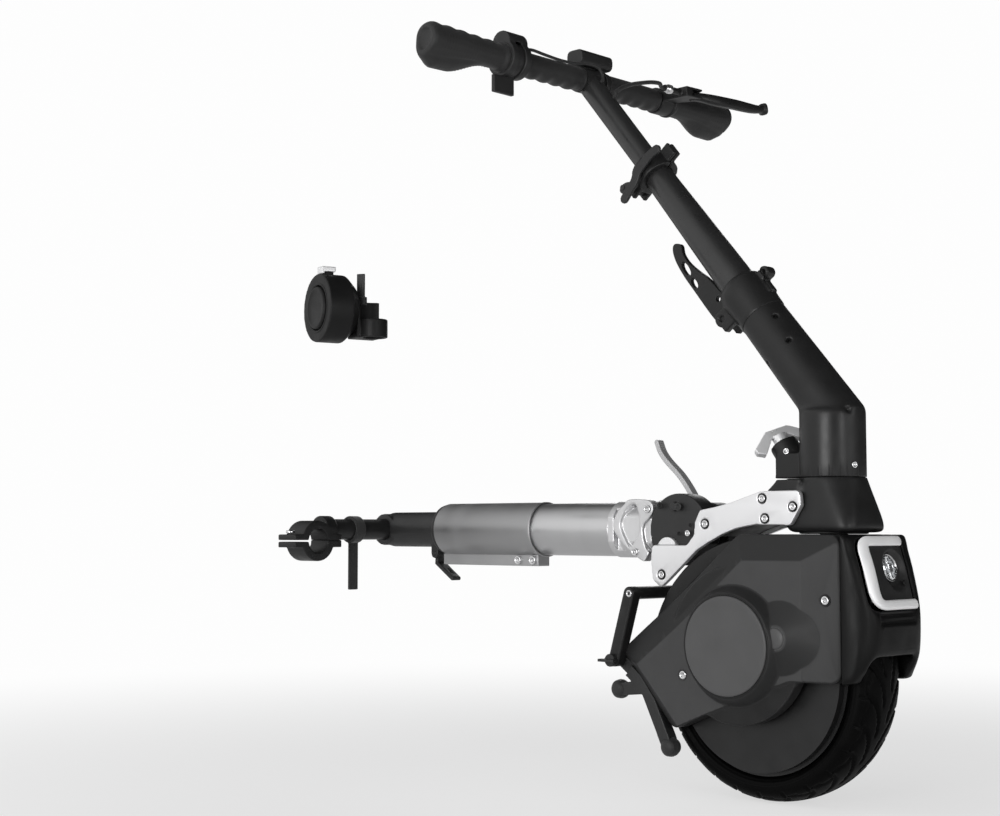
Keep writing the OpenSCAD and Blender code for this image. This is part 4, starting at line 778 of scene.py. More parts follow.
# the lamp in its own frame: out, then Y and up from its middle
FRAME_LINE = [(38, 32.3), (-33, 32.3), (-33, -31.5), (40, -31.5)]
FRAME_ROUND = [0, 11, 16, 0]
FRAME_OUT = 0.6
FRAME_STEP = 2.0
FRAME_TAPER = (0.5, 0.85, 1)
PANEL_Y = (-31.5, 40, 60)
PANEL_Z = (-29, 29.5, 52)
PANEL_OUT = -1.8
PANEL_EDGE = -7.0
BOWL = (17, 3)
BOWL_DEEP = 5.0
SEAT = (11, 6)
SEAT_DEEP = 2.5
REFLECTOR = [(13.6, -5.6), (14.1, -5.2), (14.1, -4), (13.4, -3.7), (12.9, -4.2), (10.2, -7.2),
             (6, -9.2), (2.4, -9.6), (2.4, -10.4), (13.6, -9.8)]
LED = ((-9.4, 5, 2.6), (-6.4, 17, 9.4))
LENS = [(12.5, -5.2), (12.7, -4.8), (12, -4.2), (9, -3.3), (5.2, -2.7), (1.4, -2.5)]
PANEL_SCREW = [(2.8, -1), (2.8, 0.5), (2.3, 0.9), (1.5, 0.9), (1.4, -0.4), (0.4, -0.4)]
PANEL_SCREWS_Y = (-26, 29)
PANEL_SCREWS_Z = -10.0


def nose_warp(p):
    """Bows the nose forward, and turns its sides, brow and foot back and its lip under the lamp in."""
    share = max(0.0, min(1.3, (p.x - NOSE_X) / NOSE_DEEP))
    side = max(0.0, abs(p.y) - 18.0) / 40.0
    shoulder = step(195.0, 272.0, p.z)
    brow = max(0.0, p.z - 240.0) / 37.0
    foot = 1 - step(126.0, 172.0, p.z)
    below = p.z - LAMP_Z
    lip = step(-52, -48, below) * (1 - step(-40, -37, below)) * (1 - step(29, 33, abs(p.y + 2)))
    push = NOSE_BOW * max(0.0, 1 - ((p.z - 190.0) / 70.0) ** 2)
    push -= (NOSE_SIDE + NOSE_SHOULDER * shoulder) * side ** 2 + NOSE_BROW * brow ** 2 + NOSE_FOOT * foot ** 2
    return Vector((p.x + share * (push - NOSE_LIP * lip), p.y, p.z))


def lamp_point(out, y, z):
    return LAMP_AT + LAMP_OUT * out + LEFT * y + LAMP_UP * z


def lamp_piece(name, mesh, look, node, hides=True):
    bend(mesh, nose_warp)
    place(name, mesh, look, node, hides)


def frame_rows():
    """Rows of points round the open frame, thinner at its two ends."""
    line = [Vector((FRAME_OUT, q.x, q.y)) for q in rounded_outline(FRAME_LINE, FRAME_ROUND, 12)]
    path = [line[0]]
    for a, b in zip(line, line[1:]):
        n = max(1, int((b - a).length / FRAME_STEP))
        path += [a.lerp(b, (k + 1) / n) for k in range(n)]
    rows = []
    for i, p in enumerate(path):
        d = heading(path, i)
        across = d.cross(Vector((1, 0, 0))).normalized()
        small = FRAME_TAPER[min(i, len(path) - 1 - i, 2)]
        section = oval(5.0 + 2.6 * abs(d.z) ** 2, 2.8, 24, 2.4)
        rows.append([lamp_point(p.x + b * small, *((p + across * a * small).yz)) for a, b in section])
    return rows


def panel_rows():
    """Rows of points over the panel, with a round bowl and a deeper seat for the reflector."""
    y0, y1, ny = PANEL_Y
    z0, z1, nz = PANEL_Z
    rows = []
    for j in range(nz + 1):
        z = z0 + (z1 - z0) * j / nz
        row = []
        for i in range(ny + 1):
            y = y0 + (y1 - y0) * i / ny
            bowl = 1 - step(15.0, 22.0, math.hypot(y - BOWL[0], z - BOWL[1]))
            seat = 1 - step(13.8, 15.0, math.hypot(y - SEAT[0], z - SEAT[1]))
            out = PANEL_OUT - BOWL_DEEP * bowl - SEAT_DEEP * seat
            if i in (0, ny) or j in (0, nz):
                out = PANEL_EDGE
            row.append(lamp_point(out, y, z))
        rows.append(row)
    return rows


def make_lamp():
    at = lamp_point(0, *SEAT)
    lamp_piece("lamp_frame", grid_mesh(frame_rows(), caps=True), "bezel", "lamp_bezel")
    lamp_piece("lamp_panel", grid_mesh(panel_rows(), wrap_u=False), "trim", "lamp_housing")
    reflector = ring_solid(at, LAMP_OUT, REFLECTOR)
    lamp_piece("lamp_reflector", reflector, "chrome", "lamp_lens", hides=False)
    lamp_piece("lamp_led", box_at(lamp_point, *LED), "dark", "lamp_lens", hides=False)
    lamp_piece("lamp_glass", lathe(at, LAMP_OUT, LENS, 40), "lens", "lamp_lens")
    for k, y in enumerate(PANEL_SCREWS_Y, 1):
        head = lathe(lamp_point(-1.9, y, PANEL_SCREWS_Z), LAMP_OUT, PANEL_SCREW, 24)
        lamp_piece("lamp_screw_%d" % k, head, "dark", "lamp_housing", hides=False)


soften("nose_cover", 1.3, 3, 0.3, add=[block(*leg) for leg in NOSE_LEGS],
       weight=lambda x, y, z: step(116.6, 121, x), extra=44, warp=nose_warp)
make_lamp()


# castings and mouldings with eased edges: voxel size, rounds of easing and share of faces kept

EASED = {
    "right_plate": (0.9, 4, 0.16), "left_plate": (0.9, 4, 0.12), "hinge_discs": (0.9, 3, 0.14),
    "upper_clamp": (0.8, 5, 0.16), "wing_knob": (0.6, 5, 0.2), "foot_brackets": (0.8, 6, 0.14),
    "console": (0.7, 5, 0.16), "throttle_housing": (0.7, 5, 0.14), "brake_bracket": (0.7, 5, 0.14),
    "hook_lever": (0.6, 3, 0.14), "frame_clamps": (0.9, 4, 0.14), "clamp_caps": (0.9, 4, 0.14),
    "remote_body": (0.9, 5, 0.12), "remote_bracket": (0.9, 4, 0.14), "tube_rail": (0.7, 3, 0.14),
    "wing_screws": (0.5, 3, 0.16), "throttle_paddle": (0.6, 3, 0.16),
}
for node, (voxel, rounds, keep) in EASED.items():
    soften(node, voxel, rounds, keep)
soften("rear_frame", 0.8, 3, 0.15, swell=1.3)


# neck and base, with drill holes and screws where the photograph has them

NECK_HOLES_PX = [(775.8, 315.5), (788.7, 339.7), (767.7, 363.9), (848.4, 407.4)]
BASE_SCREWS_PX = [(854.1, 464.6), (786.5, 451.4)]
HOLE_R = 3.0
HOLE_DEEP = 6.0
WEB = [(24, 335.4), (50, 335.4), (50, 392), (34, 384), (27, 362)]
WEB_ROUND = [0, 0, 3, 3, 3]
WEB_HALF = 17
WEB_FOOT = ((24, -16, 296), (48, 16, 334.5))
BASE_DROP = 4.0
SEAL_Z = 277.4
SEAL = [(33, 0), (35, 0.5), (35, 2), (33, 2.6)]


def near_bend(x, y, z):
    return 1 - step(28, 62, math.hypot(x - BEND.x, z - BEND.z))


def above_joint(x, y, z):
    return step(335.5, 340.0, z)


def below_joint(x, y, z):
    return 1 - step(329.0, 334.5, z)


def base_waist(x, y, z):
    return (1 - step(322, 333, z)) * step(276, 281, z) * step(20, 34, x)


def base_skirt(p):
    """Lowers the front of the base's skirt."""
    return Vector((p.x, p.y, p.z - BASE_DROP * (1 - step(274, 300, p.z)) * step(10, 24, p.x)))


def make_neck():
    drills = []
    for pixel in NECK_HOLES_PX:
        hit, normal, _ = seen(pixel, "neck")
        drills.append(rod(hit + normal * HOLE_R, -normal, HOLE_R, HOLE_R + HOLE_DEEP))
    web = plate(rounded_outline(WEB, WEB_ROUND), [], -WEB_HALF, WEB_HALF, 1.2)
    soften("neck", 1.2, 6, 0.11, add=[web], cuts=drills, hold=above_joint, weight=near_bend, extra=30)
    soften("neck_base", 1.2, 6, 0.12, add=[block(*WEB_FOOT)], hold=below_joint, weight=base_waist, extra=70,
           warp=base_skirt)
    for k, pixel in enumerate(BASE_SCREWS_PX, 1):
        hit, normal, node = seen(pixel, "neck_base", "neck")
        screw("base_screw_%d" % k, hit, normal, 3.4, 1.6, node, hides=False)
    seal = lathe((STEER_X, 0, SEAL_Z), (0, 0, 1), SEAL)
    place("base_seal", seal, "dark", "neck_base", hides=False)


make_neck()


# dock: the sleeve with the flare that meets the tube, and the two tubes

FLARE_X = -508
FLARE = [(22, 0), (24, 4), (28, 10), (30.8, 14.4)]


def tube(name, node, r, wall, lip):
    """A satin tube along the dock's line, with a rolled lip at its front end."""
    lo, hi = box_mm(node)
    far = hi.x - lo.x
    profile = [(r - wall, 0.4), (r - 0.7, 0), (r, 0.7), (r, far - 4), (r + lip, far - 2.6),
               (r + lip, far - 0.6), (r + lip * 0.4, far), (r - wall, far)]
    place(name, ring_solid((lo.x, 0, DOCK_Z), (1, 0, 0), profile, 96), LOOKS[node], node)


soften("dock_sleeve", 1.0, 4, 0.1, add=[lathe((FLARE_X, 0, DOCK_Z), (1, 0, 0), FLARE)])
tube("outer_sleeve", "outer_tube", 32.1, 1.2, 0.6)
tube("inner_sleeve", "inner_tube", 30.5, 4.0, 0.0)


# collar: a flared sleeve with an ear for its pinch screw and a forked ear for the cam lever

COLLAR = BEND + UP * 141.0
COLLAR_SLEEVE = [(25.9, -9), (26.4, -7), (26.8, 4), (27.6, 14), (28.2, 26), (27.6, 33), (25.8, 38),
                 (22.8, 41.6), (20.4, 42.8)]
PINCH = (34.5, 27)
CAM = (-33.5, 22)
SLANT = 0.47


def on_collar(x, y, z):
    return COLLAR + FRONT * x + LEFT * y + UP * z


def on_slit(x, y, z):
    """A point in the slanting slit of the pinch ear."""
    return on_collar(x, y - SLANT * (x - 20), z)


def cross_rod(x, z, y0, r, length):
    return rod(on_collar(x, y0, z), LEFT, r, length)


def make_collar():
    solids = [lathe(COLLAR, UP, COLLAR_SLEEVE, 72),
              cross_rod(*PINCH, -7.0, 6.6, 15.0),
              box_at(on_collar, (18, -7, 6), (29, 8, 33)),
              box_at(on_collar, (22, -7, 21), (34.5, 8, 33)),
              cross_rod(*CAM, -15.0, 9.5, 30.0),
              box_at(on_collar, (-40, -15, 8), (-16, 15, 31))]
    hollows = [rod(on_collar(0, 0, -15), UP, 20.25, 70.0),
               cross_rod(*PINCH, -14, 2.8, 32.0),
               cross_rod(*CAM, -18, 3.6, 40.0),
               box_at(on_collar, (-70, -6.6, -2), (-26.4, 6.6, 50)),
               box_at(on_slit, (19, -1.1, 4), (48, 1.1, 50))]
    mesh = cut(remade(joined(*solids), 0.9, 7), *hollows)
    mesh = cut(mesh, rod(on_collar(0, 0, -15), UP, 25.7, 15.0))
    place("collar_casting", evaluated(mesh, ("DECIMATE", dict(ratio=0.22))), "paint", "collar")


make_collar()


# levers: each a flat blade with the pin it turns on

CAM_BLADE = [(-131.7, 601.1), (-134.1, 594.1), (-129.6, 580.8), (-118.3, 563.2), (-102.7, 543.6),
             (-87.2, 524.2), (-75.4, 510.7), (-66, 502.5), (-57, 500.5), (-50, 505.5), (-52.5, 514),
             (-60.5, 525), (-65, 538), (-70.6, 544), (-84.6, 557.9), (-97.9, 567.2), (-111.3, 578.1),
             (-119.4, 588.8), (-122.5, 599.3)]
CAM_SLOTS = [(-115, 571.5, 9.6, 3.6, -54), (-103.6, 554.2, 6.8, 3.2, -54), (-71, 533.5, 2.8, 2.8, 0)]
CLAMP_LINE = [(-136.2, 705.5), (-144.5, 701.5), (-152.6, 695.1), (-163.8, 683.9), (-168.4, 673.7),
              (-175.1, 665.9), (-183, 656.1)]
CLAMP_EYE = (-179.6, 668, 10, 6.4, 12)
RELEASE_LINE = [(-157.5, 379.5), (-153, 369), (-144, 358), (-126, 341.5), (-112, 324),
                (-104, 310)]


def make_levers():
    cam = plate(curved(CAM_BLADE), [ellipse(*slot) for slot in CAM_SLOTS], -3.2, 3.2, 1.0)
    pin = rod((-57.5, -12.4, 509.5), LEFT, 3.4, 24.8)
    place("cam_blade", joined(cam, pin), "paint", "cam_lever", smooth=False)

    bow = plate(ribbon(CLAMP_LINE, 5.4), [], -29.6, -25.2, 1.4)
    eye = plate(ellipse(*CLAMP_EYE), [], -29.4, -25.4, 1.2)
    pin = rod((-184.6, -30.2, 669.1), LEFT, 3.0, 42.0)
    hub = rod((-184.6, -5.8, 669.1), LEFT, 4.8, 11.6)
    place("clamp_bow", joined(bow, eye, pin, hub), "trim", "clamp_lever", smooth=False)

    lever = plate(ribbon(RELEASE_LINE, 3.0), [], -5.4, 5.4, 1.2)
    pin = rod((-104, -29.8, 311), LEFT, 3.0, 35.0)
    place("release_bar", joined(lever, pin), "lever", "release_lever", smooth=False)


make_levers()


# end fork: cheeks with a sunk panel, and their screws

FORK_RIM = [(-174.2, 315.3), (-181.9, 310.1), (-189.7, 303.7), (-196.6, 293.9), (-198.4, 287.4),
            (-196.7, 280.2), (-190.7, 273), (-180.5, 262.6), (-165.4, 252.4), (-153.7, 246.8),
            (-149.5, 251.3), (-146.1, 256.5), (-150.2, 261.6), (-154.3, 273.1), (-155.1, 282.1),
            (-152.5, 288.6), (-146.7, 293.7), (-140.8, 300.7), (-139.9, 307.8), (-143.2, 312.3),
            (-149.8, 315)]
FORK_PANEL = [(-166.6, 310.6), (-178.5, 304.3), (-186.3, 292.6), (-187.2, 286), (-183.8, 276.9),
              (-175.4, 264), (-171.2, 264), (-161.8, 275.7), (-160, 288.6), (-160.8, 298.9)]
FORK_CHEEK_Y = (22, 33.5)
FORK_SCREWS = [(-165.4, 257.4), (-147.2, 304.5)]
FORK_SCREW_Y = 33.2


def make_end_fork():
    cheeks = []
    for side, _ in SIDES:
        y0, y1 = sorted(side * y for y in FORK_CHEEK_Y)
        cheeks.append(plate(curved(FORK_RIM, 4), [curved(FORK_PANEL, 4)], y0, y1, 0.4))
    soften("end_fork", 0.8, 4, 0.14, add=cheeks)
    spots = [(side, x, z) for side, _ in SIDES for x, z in FORK_SCREWS]
    for k, (side, x, z) in enumerate(spots, 1):
        screw("fork_screw_%d" % k, (x, side * FORK_SCREW_Y, z), (0, side, 0), 4.6, 2.4, "fork_screws")


make_end_fork()


# screws at the CAD places, and the small round details

PLATE_Y = 44.3
PLATE_SEAT = [(3.9, -0.6), (5, -0.6), (5, 0.8), (4.7, 0.9), (4.3, 0.7), (3.9, 0.3)]
SHELL_SINK = 1.2
SHELL_WASHER = [(4.6, -1), (6.6, -1), (6.6, 0.9), (6.2, 1.3), (5.4, 0.7), (4.6, 0.6)]
CLAMPS_X = -500
DOCK_SCREW_R = 5.4
DOCK_SCREW_H = 3.0
DISC_Y = -42.8
# places, sizes and finishes on the hinge discs: the dark ones are holes, drawn as dark rings of painted shade
DISC_SPOTS = [(-122.4, 308.1, 3, "dark"), (-96.8, 306.6, 4.6, "trim"), (-83.9, 278.1, 3.4, "steel"),
              (-81.1, 286.7, 1.6, "dark"), (-96.8, 277.6, 1.8, "dark")]
FRAME_SCREW = (-145.5, 67.4, 212.8)


def ringed_screws(node, name, ring_name, ring, r, h, face):
    """Screws that face outwards, each in a dark ring. face gives the height of their seat from a box."""
    for k, (lo, hi) in enumerate(islands(node), 1):
        side = -1 if lo.y < 0 else 1
        axis = (0, side, 0)
        at = ((lo.x + hi.x) / 2, side * face(lo, hi), (lo.z + hi.z) / 2)
        screw("%s_%d" % (name, k), at, axis, r, h, node)
        place("%s_%d" % (ring_name, k), ring_solid(at, axis, ring, 36), "dark", node, hides=False)


def make_screws():
    ringed_screws("plate_bolts", "plate_screw", "plate_seat", PLATE_SEAT, 4.0, 1.4, lambda lo, hi: PLATE_Y)
    ringed_screws("casing_screws", "shell_screw", "shell_washer", SHELL_WASHER, 4.5, 1.8,
                  lambda lo, hi: max(abs(lo.y), abs(hi.y)) - SHELL_SINK)
    for k, (lo, hi) in enumerate(islands("dock_screws"), 1):
        mid = (lo + hi) / 2
        at = (mid.x, lo.y + DOCK_SCREW_H, mid.z)
        axis = (0, -1, 0)
        if mid.x < CLAMPS_X:
            at = (mid.x, mid.y, hi.z - DOCK_SCREW_H)
            axis = (0, 0, 1)
        screw("dock_screw_%d" % k, at, axis, DOCK_SCREW_R, DOCK_SCREW_H, "dock_screws")
    for k, (x, z, r, look) in enumerate(DISC_SPOTS, 1):
        at = (x, DISC_Y, z)
        # painted shade: a dark ring stands for the hole
        if look == "dark":
            rim = [(0.3, 0.1), (r * 0.8, 0.1), (r * 0.9, 0.5), (r * 1.15, 0.5), (r * 1.3, 0.0), (0.3, -0.5)]
            hole = ring_solid(at, (0, -1, 0), rim, 24)
            place("disc_hole_%d" % k, hole, look, "hinge_discs", hides=False)
        else:
            screw("disc_pin_%d" % k, at, (0, -1, 0), r, 1.6, "hinge_discs", look, hides=False)
    x, y, z = FRAME_SCREW
    for side, tag in SIDES:
        screw("frame_screw_" + tag, (x, side * y, z), (0, side, 0), 4.0, 1.6, "rear_frame", hides=False)


make_screws()


# wheel: the tyre with its tread

PITCHES = 26
CELL = 2 * math.pi / PITCHES
CELL_STEPS = 20
TREAD_R = 130.0
TREAD_FROM = 118
WALL_RINGS = (108.6, 112.2, 115.4)
WALL_RING_UP = 0.7
HALF_TYRE = [(104.5, -24), (106.4, -26.5), (109.2, -30.5), (113.5, -33.8), (118, -35), (122.5, -33.8),
             (127, -30), (130.4, -24), (132.6, -16), (133.7, -8), (134, 0)]
TYRE = HALF_TYRE + [(r, -y) for r, y in HALF_TYRE[-2::-1]]
SIPE_RUN = 44.0
SIPE_DEEP = 2.8
SIPE_HALF = 2.1
SLOT_DEEP = 2.2
LINE_DEEP = 1.4


def groove(u, y):
    """Depth of the tread at u millimetres along one pitch and y across."""
    pitch = CELL * TREAD_R
    a = abs(y)
    depth = 0.0
    # a long sipe from the shoulder curls towards the middle as it runs round
    for shift in (-1, 0, 1):
        v = u - shift * pitch
        t = max(0.0, min(1.0, v / SIPE_RUN))
        centre = 25.5 - 19.5 * math.sin(t * math.pi / 2) ** 0.8
        d = abs(a - centre) * (0.75 if t < 0.25 else 1.0)
        wide = SIPE_HALF * (1 - 0.55 * t)
        ends = step(-2, 0, v) * (1 - step(40, 46, v))
        depth = max(depth, SIPE_DEEP * (1 - step(wide * 0.6, wide * 1.15, d)) * ends)
    # a short slot crosses the shoulder block
    d = min(abs(u - 2), abs(u - 2 - pitch), abs(u - 2 + pitch))
    depth = max(depth, SLOT_DEEP * (1 - step(0.9, 1.7, d)) * step(24, 25.2, a) * (1 - step(33, 34, a)))
    # a stepped line parts the shoulder from the crown
    f = (u % pitch) / pitch
    line = 26.2 + (1.6 if f > 0.55 else -1.2) + 1.4 * (f - 0.5)
    return max(depth, LINE_DEEP * (1 - step(0.6, 1.2, abs(a - line))))


def tyre_point(k, r, y):
    """A point of the tyre's skin at step k round it, for a point of its plain section."""
    theta = CELL * k / CELL_STEPS
    if r > TREAD_FROM:
        u = (k % CELL_STEPS) / CELL_STEPS * CELL * TREAD_R
        if y > 0:
            u = (u + CELL * (TREAD_R / 2)) % (CELL * TREAD_R)
        r -= groove(u, y)
    else:
        for ring in WALL_RINGS:
            y += math.copysign(WALL_RING_UP * (1 - step(0.4, 1.1, abs(r - ring))), y)
    return (r * math.sin(theta), y, AXLE_Z + r * math.cos(theta))


def make_tyre():
    section = smooth_path(TYRE, 4)
    rows = [[tyre_point(k, q.x, q.y) for q in section] for k in range(PITCHES * CELL_STEPS)]
    place("tyre_tread", grid_mesh(rows, wrap_u=False, wrap_v=True), "tyre", "tyre")


make_tyre()


# grips: a slim rubber sleeve with finger waves on top and a palm wing under its outer end

GRIP_R = 14.6
GRIP_SWELL = 2.2
GRIP_FLANGE = 2.4
GRIP_ROUND = 2.6
GRIP_ROUND_FROM = 0.955
GRIP_ROWS = 80
GRIP_COUNT = 64
GRIP_WAVE = 1.3
GRIP_WAVE_PITCH = 21.0
DOT_UP = 0.5
WING = 14.5
WING_AT = math.radians(-118)
CREASE = 0.9
GRIP_END = [(0.8, 0), (0.72, 0), (0.68, -1.6), (0.2, -1.6)]
SLEEVE_R = 13.6
SLEEVE_WAVE = 1.7
SLEEVE_WAVE_PITCH = 20.5
SLEEVE_ROWS = 96
SLEEVE_COUNT = 56


def bar_point(r, t, y):
    return (BAR.x + r * math.cos(t), y, BAR.z + r * math.sin(t))


def grip_radius(f, y, t):
    """The grip's radius at share f of its length, at y along the bar and angle t round it."""
    s = math.sin(t)
    r = GRIP_R + GRIP_SWELL * step(0.1, 0.9, f) + GRIP_FLANGE * (1 - step(0.03, 0.06, f))
    if f > GRIP_ROUND_FROM:
        r -= GRIP_ROUND * ((f - GRIP_ROUND_FROM) / (1 - GRIP_ROUND_FROM)) ** 2
    wave = 0.5 + 0.5 * math.cos(2 * math.pi * (BAR_END - 8 - y) / GRIP_WAVE_PITCH)
    r += GRIP_WAVE * max(0.0, s) ** 1.2 * wave * step(0.08, 0.2, f) * (1 - step(0.93, 1.0, f))
    # rows of small raised dots on the sides
    dot = max(0.0, math.sin(y * 1.5)) * max(0.0, math.sin(t * 16))
    r += DOT_UP * dot * step(0.12, 0.2, f) * (1 - step(0.85, 0.92, f)) * (1 - step(0.2, 0.5, s))
    wing = max(0.0, math.cos(t - WING_AT)) ** 5
    r += WING * wing * step(0.22, 0.66, f) * (1 - 0.55 * step(0.84, 1.0, f))
    # a crease where the wing leaves the sleeve
    crease = 1 - step(0.04, 0.12, abs(t - math.radians(304 - 30 * f)))
    return r - CREASE * crease * step(0.3, 0.5, f)


def make_grip(side, tag):
    rows = []
    for j in range(GRIP_ROWS + 1):
        f = j / GRIP_ROWS
        y = GRIP_IN + (BAR_END - GRIP_IN) * f
        rows.append([bar_point(grip_radius(f, y, t), t, side * y) for t in turns(GRIP_COUNT)])
    end = rows[-1]
    mid = Vector((BAR.x, side * BAR_END, BAR.z))
    for pull, out in GRIP_END:
        rows.append([mid + (Vector(p) - mid) * pull + Vector((0, side * out, 0)) for p in end])
    place(tag + "_grip", grid_mesh(rows, caps=True), "rubber", "grips")


def bar_sleeve(name, y0, y1):
    """A rubber sleeve round the bar with finger waves along its underside and a flange at each end."""
    rows = []
    for j in range(SLEEVE_ROWS + 1):
        y = y0 + (y1 - y0) * j / SLEEVE_ROWS
        ends = min(abs(y - y0), abs(y - y1))
        base = SLEEVE_R - 1.2 * (1 - step(0.0, 1.4, ends)) + 0.8 * (1 - step(3.0, 4.2, ends))
        wave = 0.5 + 0.5 * math.cos(2 * math.pi * (y - y0) / SLEEVE_WAVE_PITCH)
        row = []
        for t in turns(SLEEVE_COUNT):
            r = base + SLEEVE_WAVE * wave * max(0.0, -math.sin(t)) ** 1.3 * step(4, 8, ends)
            row.append(bar_point(r, t, y))
        rows.append(row)
    place(name, grid_mesh(rows, caps=True), "rubber", "grips")


for side, tag in SIDES:
    make_grip(side, tag)
bar_sleeve("right_bar_sleeve", -117.0, -15.2)
bar_sleeve("left_bar_sleeve", 25.2, 122.8)


# brake: a thick curved blade with a blunt end, and a bright cable adjuster on its bracket

BRAKE_LINE = [(-221.5, 144, 812), (-213.7, 156.6, 811.2), (-203.9, 172.8, 808.6), (-198.1, 199.3, 808),
              (-192.4, 230.1, 807), (-190, 243.4, 808), (-188.6, 251, 809.5)]
ADJUSTER_AT = BAR + Vector((40, 104.5, 3))
ADJUSTER = [(2.9, -2), (5.2, -1.6), (5.6, -0.8), (5.6, 4), (5.2, 4.8), (4.4, 5.2), (4.4, 9), (3.9, 9.6),
            (2.8, 9.8)]


def make_brake():
    path = smooth_path(BRAKE_LINE, 8)
    n = len(path) - 1
    sections = []
    for i in range(n + 1):
        f = i / n
        wide = 6.4 - 1.0 * step(0.15, 0.5, f) + 2.2 * step(0.86, 0.93, f)
        tall = 5.2 + 1.2 * step(0.1, 0.35, f) - 1.6 * step(0.5, 0.82, f) + 2.6 * step(0.86, 0.93, f)
        small = 0.7 if i in (0, n) else 1.0
        sections.append(oval(wide * small, tall * small, 24, 3.0))
    place("brake_blade", grid_mesh(sweep(path, sections), caps=True), "paint", "brake_lever")
    adjuster = lathe(ADJUSTER_AT, (0, -1, 0), ADJUSTER, 32)
    place("cable_adjuster", adjuster, "steel", "brake_bracket", hides=False)


make_brake()


# cables along the routes of the part's source, from the middle of the bar

STEM_R = 14.0
CABLE_HINT = Vector((0.3, 0.2, 1)).normalized()


def stem_front(y, d, ahead):
    """A point in front of the stem, d down it from the bar."""
    r = STEM_R + ahead
    return (d * math.sin(LEAN) + r * math.cos(LEAN), y, r * math.sin(LEAN) - d * math.cos(LEAN))


BRAKE_ROUTE = [(40, 103, 3), (40, 89, 3), (44, 79.95, 5), (48, 60.3, 2), (49, 39.4, -3), (49, 22.1, -8),
               (47, 8, -14), (44, 0, -20), stem_front(0, 46, 5.2), stem_front(0, 46, 0.2)]
THROTTLE_ROUTE = [(8, -116.8, 14), (8, -115, 14), (12, -107.6, 14), (14, -90.1, 12), (16, -64.9, 10),
                  (17, -39.8, 11), (19, -22.2, 14), (24, -9, 11), (27, -5, 3), stem_front(-1.8, 18, 3.8),
                  stem_front(-1.8, 18, 0.2)]


def make_cable(name, points, radius):
    path = smooth_path([BAR + Vector(p) for p in points], 6)
    rows = sweep(path, [oval(radius, radius, 16)] * len(path), CABLE_HINT)
    place(name, grid_mesh(rows, caps=True), "rubber", "cables")


make_cable("brake_cable", BRAKE_ROUTE, 2.5)
make_cable("throttle_wire", THROTTLE_ROUTE, 1.8)


# feet, in shares of their radius

FOOT = [(0.5, -0.9), (0.78, -0.66), (0.96, -0.28), (1, 0), (0.96, 0.28), (0.9, 0.42), (0.92, 0.5),
        (0.78, 0.68), (0.5, 0.88), (0.2, 0.92)]

for k, (lo, hi) in enumerate(islands("feet"), 1):
    mid = (lo + hi) / 2
    r = (hi.x - lo.x) / 2
    axis = (0, -1 if mid.y < 0 else 1, 0)
    place("foot_%d" % k, lathe(mid, axis, [(a * r, b * r) for a, b in FOOT], 40), "rubber", "feet")


# remote: a dished button with a raised rim in a dark ring, and a clip with a bright cap and a flip plate

REMOTE = Vector((-518.0, -200.0, 546.0))
REMOTE_TURN = math.radians(16)
REMOTE_X = Vector((math.cos(REMOTE_TURN), -math.sin(REMOTE_TURN), 0.0))
REMOTE_OUT = Vector((-math.sin(REMOTE_TURN), -math.cos(REMOTE_TURN), 0.0))
FLIP_X = 19.0
FLIP_OUT = -48.5
FLIP_TURN = math.radians(-40)
# shares of the button's radius and rises from its face
PAD_FACE = [(0.92, 0.8), (0.87, 1.3), (0.81, 1.2), (0.75, 0.5), (0.5, 0.2), (0.1, 0.1)]
PAD_RING = [(1, -2.9), (1.12, -2.9), (1.12, -1.2), (1.06, -1), (1, -1.6)]


def on_remote(x, up, out):
    return REMOTE + REMOTE_X * x + Vector((0, 0, up)) + REMOTE_OUT * out


def on_flip(x, up, out):
    c = math.cos(FLIP_TURN)
    s = math.sin(FLIP_TURN)
    return on_remote(FLIP_X + x * c - out * s, up, FLIP_OUT + x * s + out * c)


def make_remote():
    lo, hi = box_mm("remote_button")
    mid = (lo + hi) / 2
    r = (hi.z - lo.z) / 2
    top = max((v.co / MM - mid).dot(REMOTE_OUT) for v in NODES["remote_button"].data.vertices)
    pad = [(r * 0.8, 0.9 - top), (r * 0.92, 1.6 - top), (r * 0.95, top * 0.5)]
    pad += [(r * share, top + rise) for share, rise in PAD_FACE]
    ring = [(r * share, top + rise) for share, rise in PAD_RING]
    place("remote_pad", lathe(mid, REMOTE_OUT, pad), "remote", "remote_button")
    place("remote_ring", ring_solid(mid, REMOTE_OUT, ring), "dark", "remote_body", hides=False)

    cap = joined(box_at(on_remote, (-7.5, 44, -21), (7.5, 50, -5)),
                 box_at(on_remote, (-7.5, 41.5, -6.5), (7.5, 50, -3)))
    post = box_at(on_remote, (-5, 39, -19), (5, 44.4, -8))
    flip = joined(box_at(on_flip, (-5, 6, -1.5), (5, 42, 1.5)), box_at(on_flip, (-7, 4, -3), (7, 14, 3)))
    place("remote_clip_cap", remade(cap, 0.5, 5, 0.3), "knob", "remote_clip")
    place("remote_clip_post", remade(post, 0.5, 3, 0.2), "dark", "remote_clip", hides=False)
    place("remote_flip", remade(flip, 0.5, 4, 0.16), "trim", "remote_clip")


make_remote()


# pull strap, with raised selvedges

SELVEDGE = 0.35


def make_strap():
    lo, hi = box_mm("pull_tab")
    mesh = remade(NODES["pull_tab"].data, 0.7, 4, 0.2)
    for v in mesh.vertices:
        p = v.co / MM
        edge = min(p.x - lo.x, hi.x - p.x)
        outward = -1 if p.y < (lo.y + hi.y) / 2 else 1
        v.co.y += MM * SELVEDGE * (1 - step(1.0, 2.5, edge)) * outward
    place("pull_strap", mesh, "strap", "pull_tab")


make_strap()


# floor, light and camera

PAPER = (0.985, 0.985, 0.985, 1)
FLOOR_GREY = (0.9, 0.9, 0.905, 1)
FLOOR_Z = -0.05
FLOOR_SPAN = (-6000, 6000)
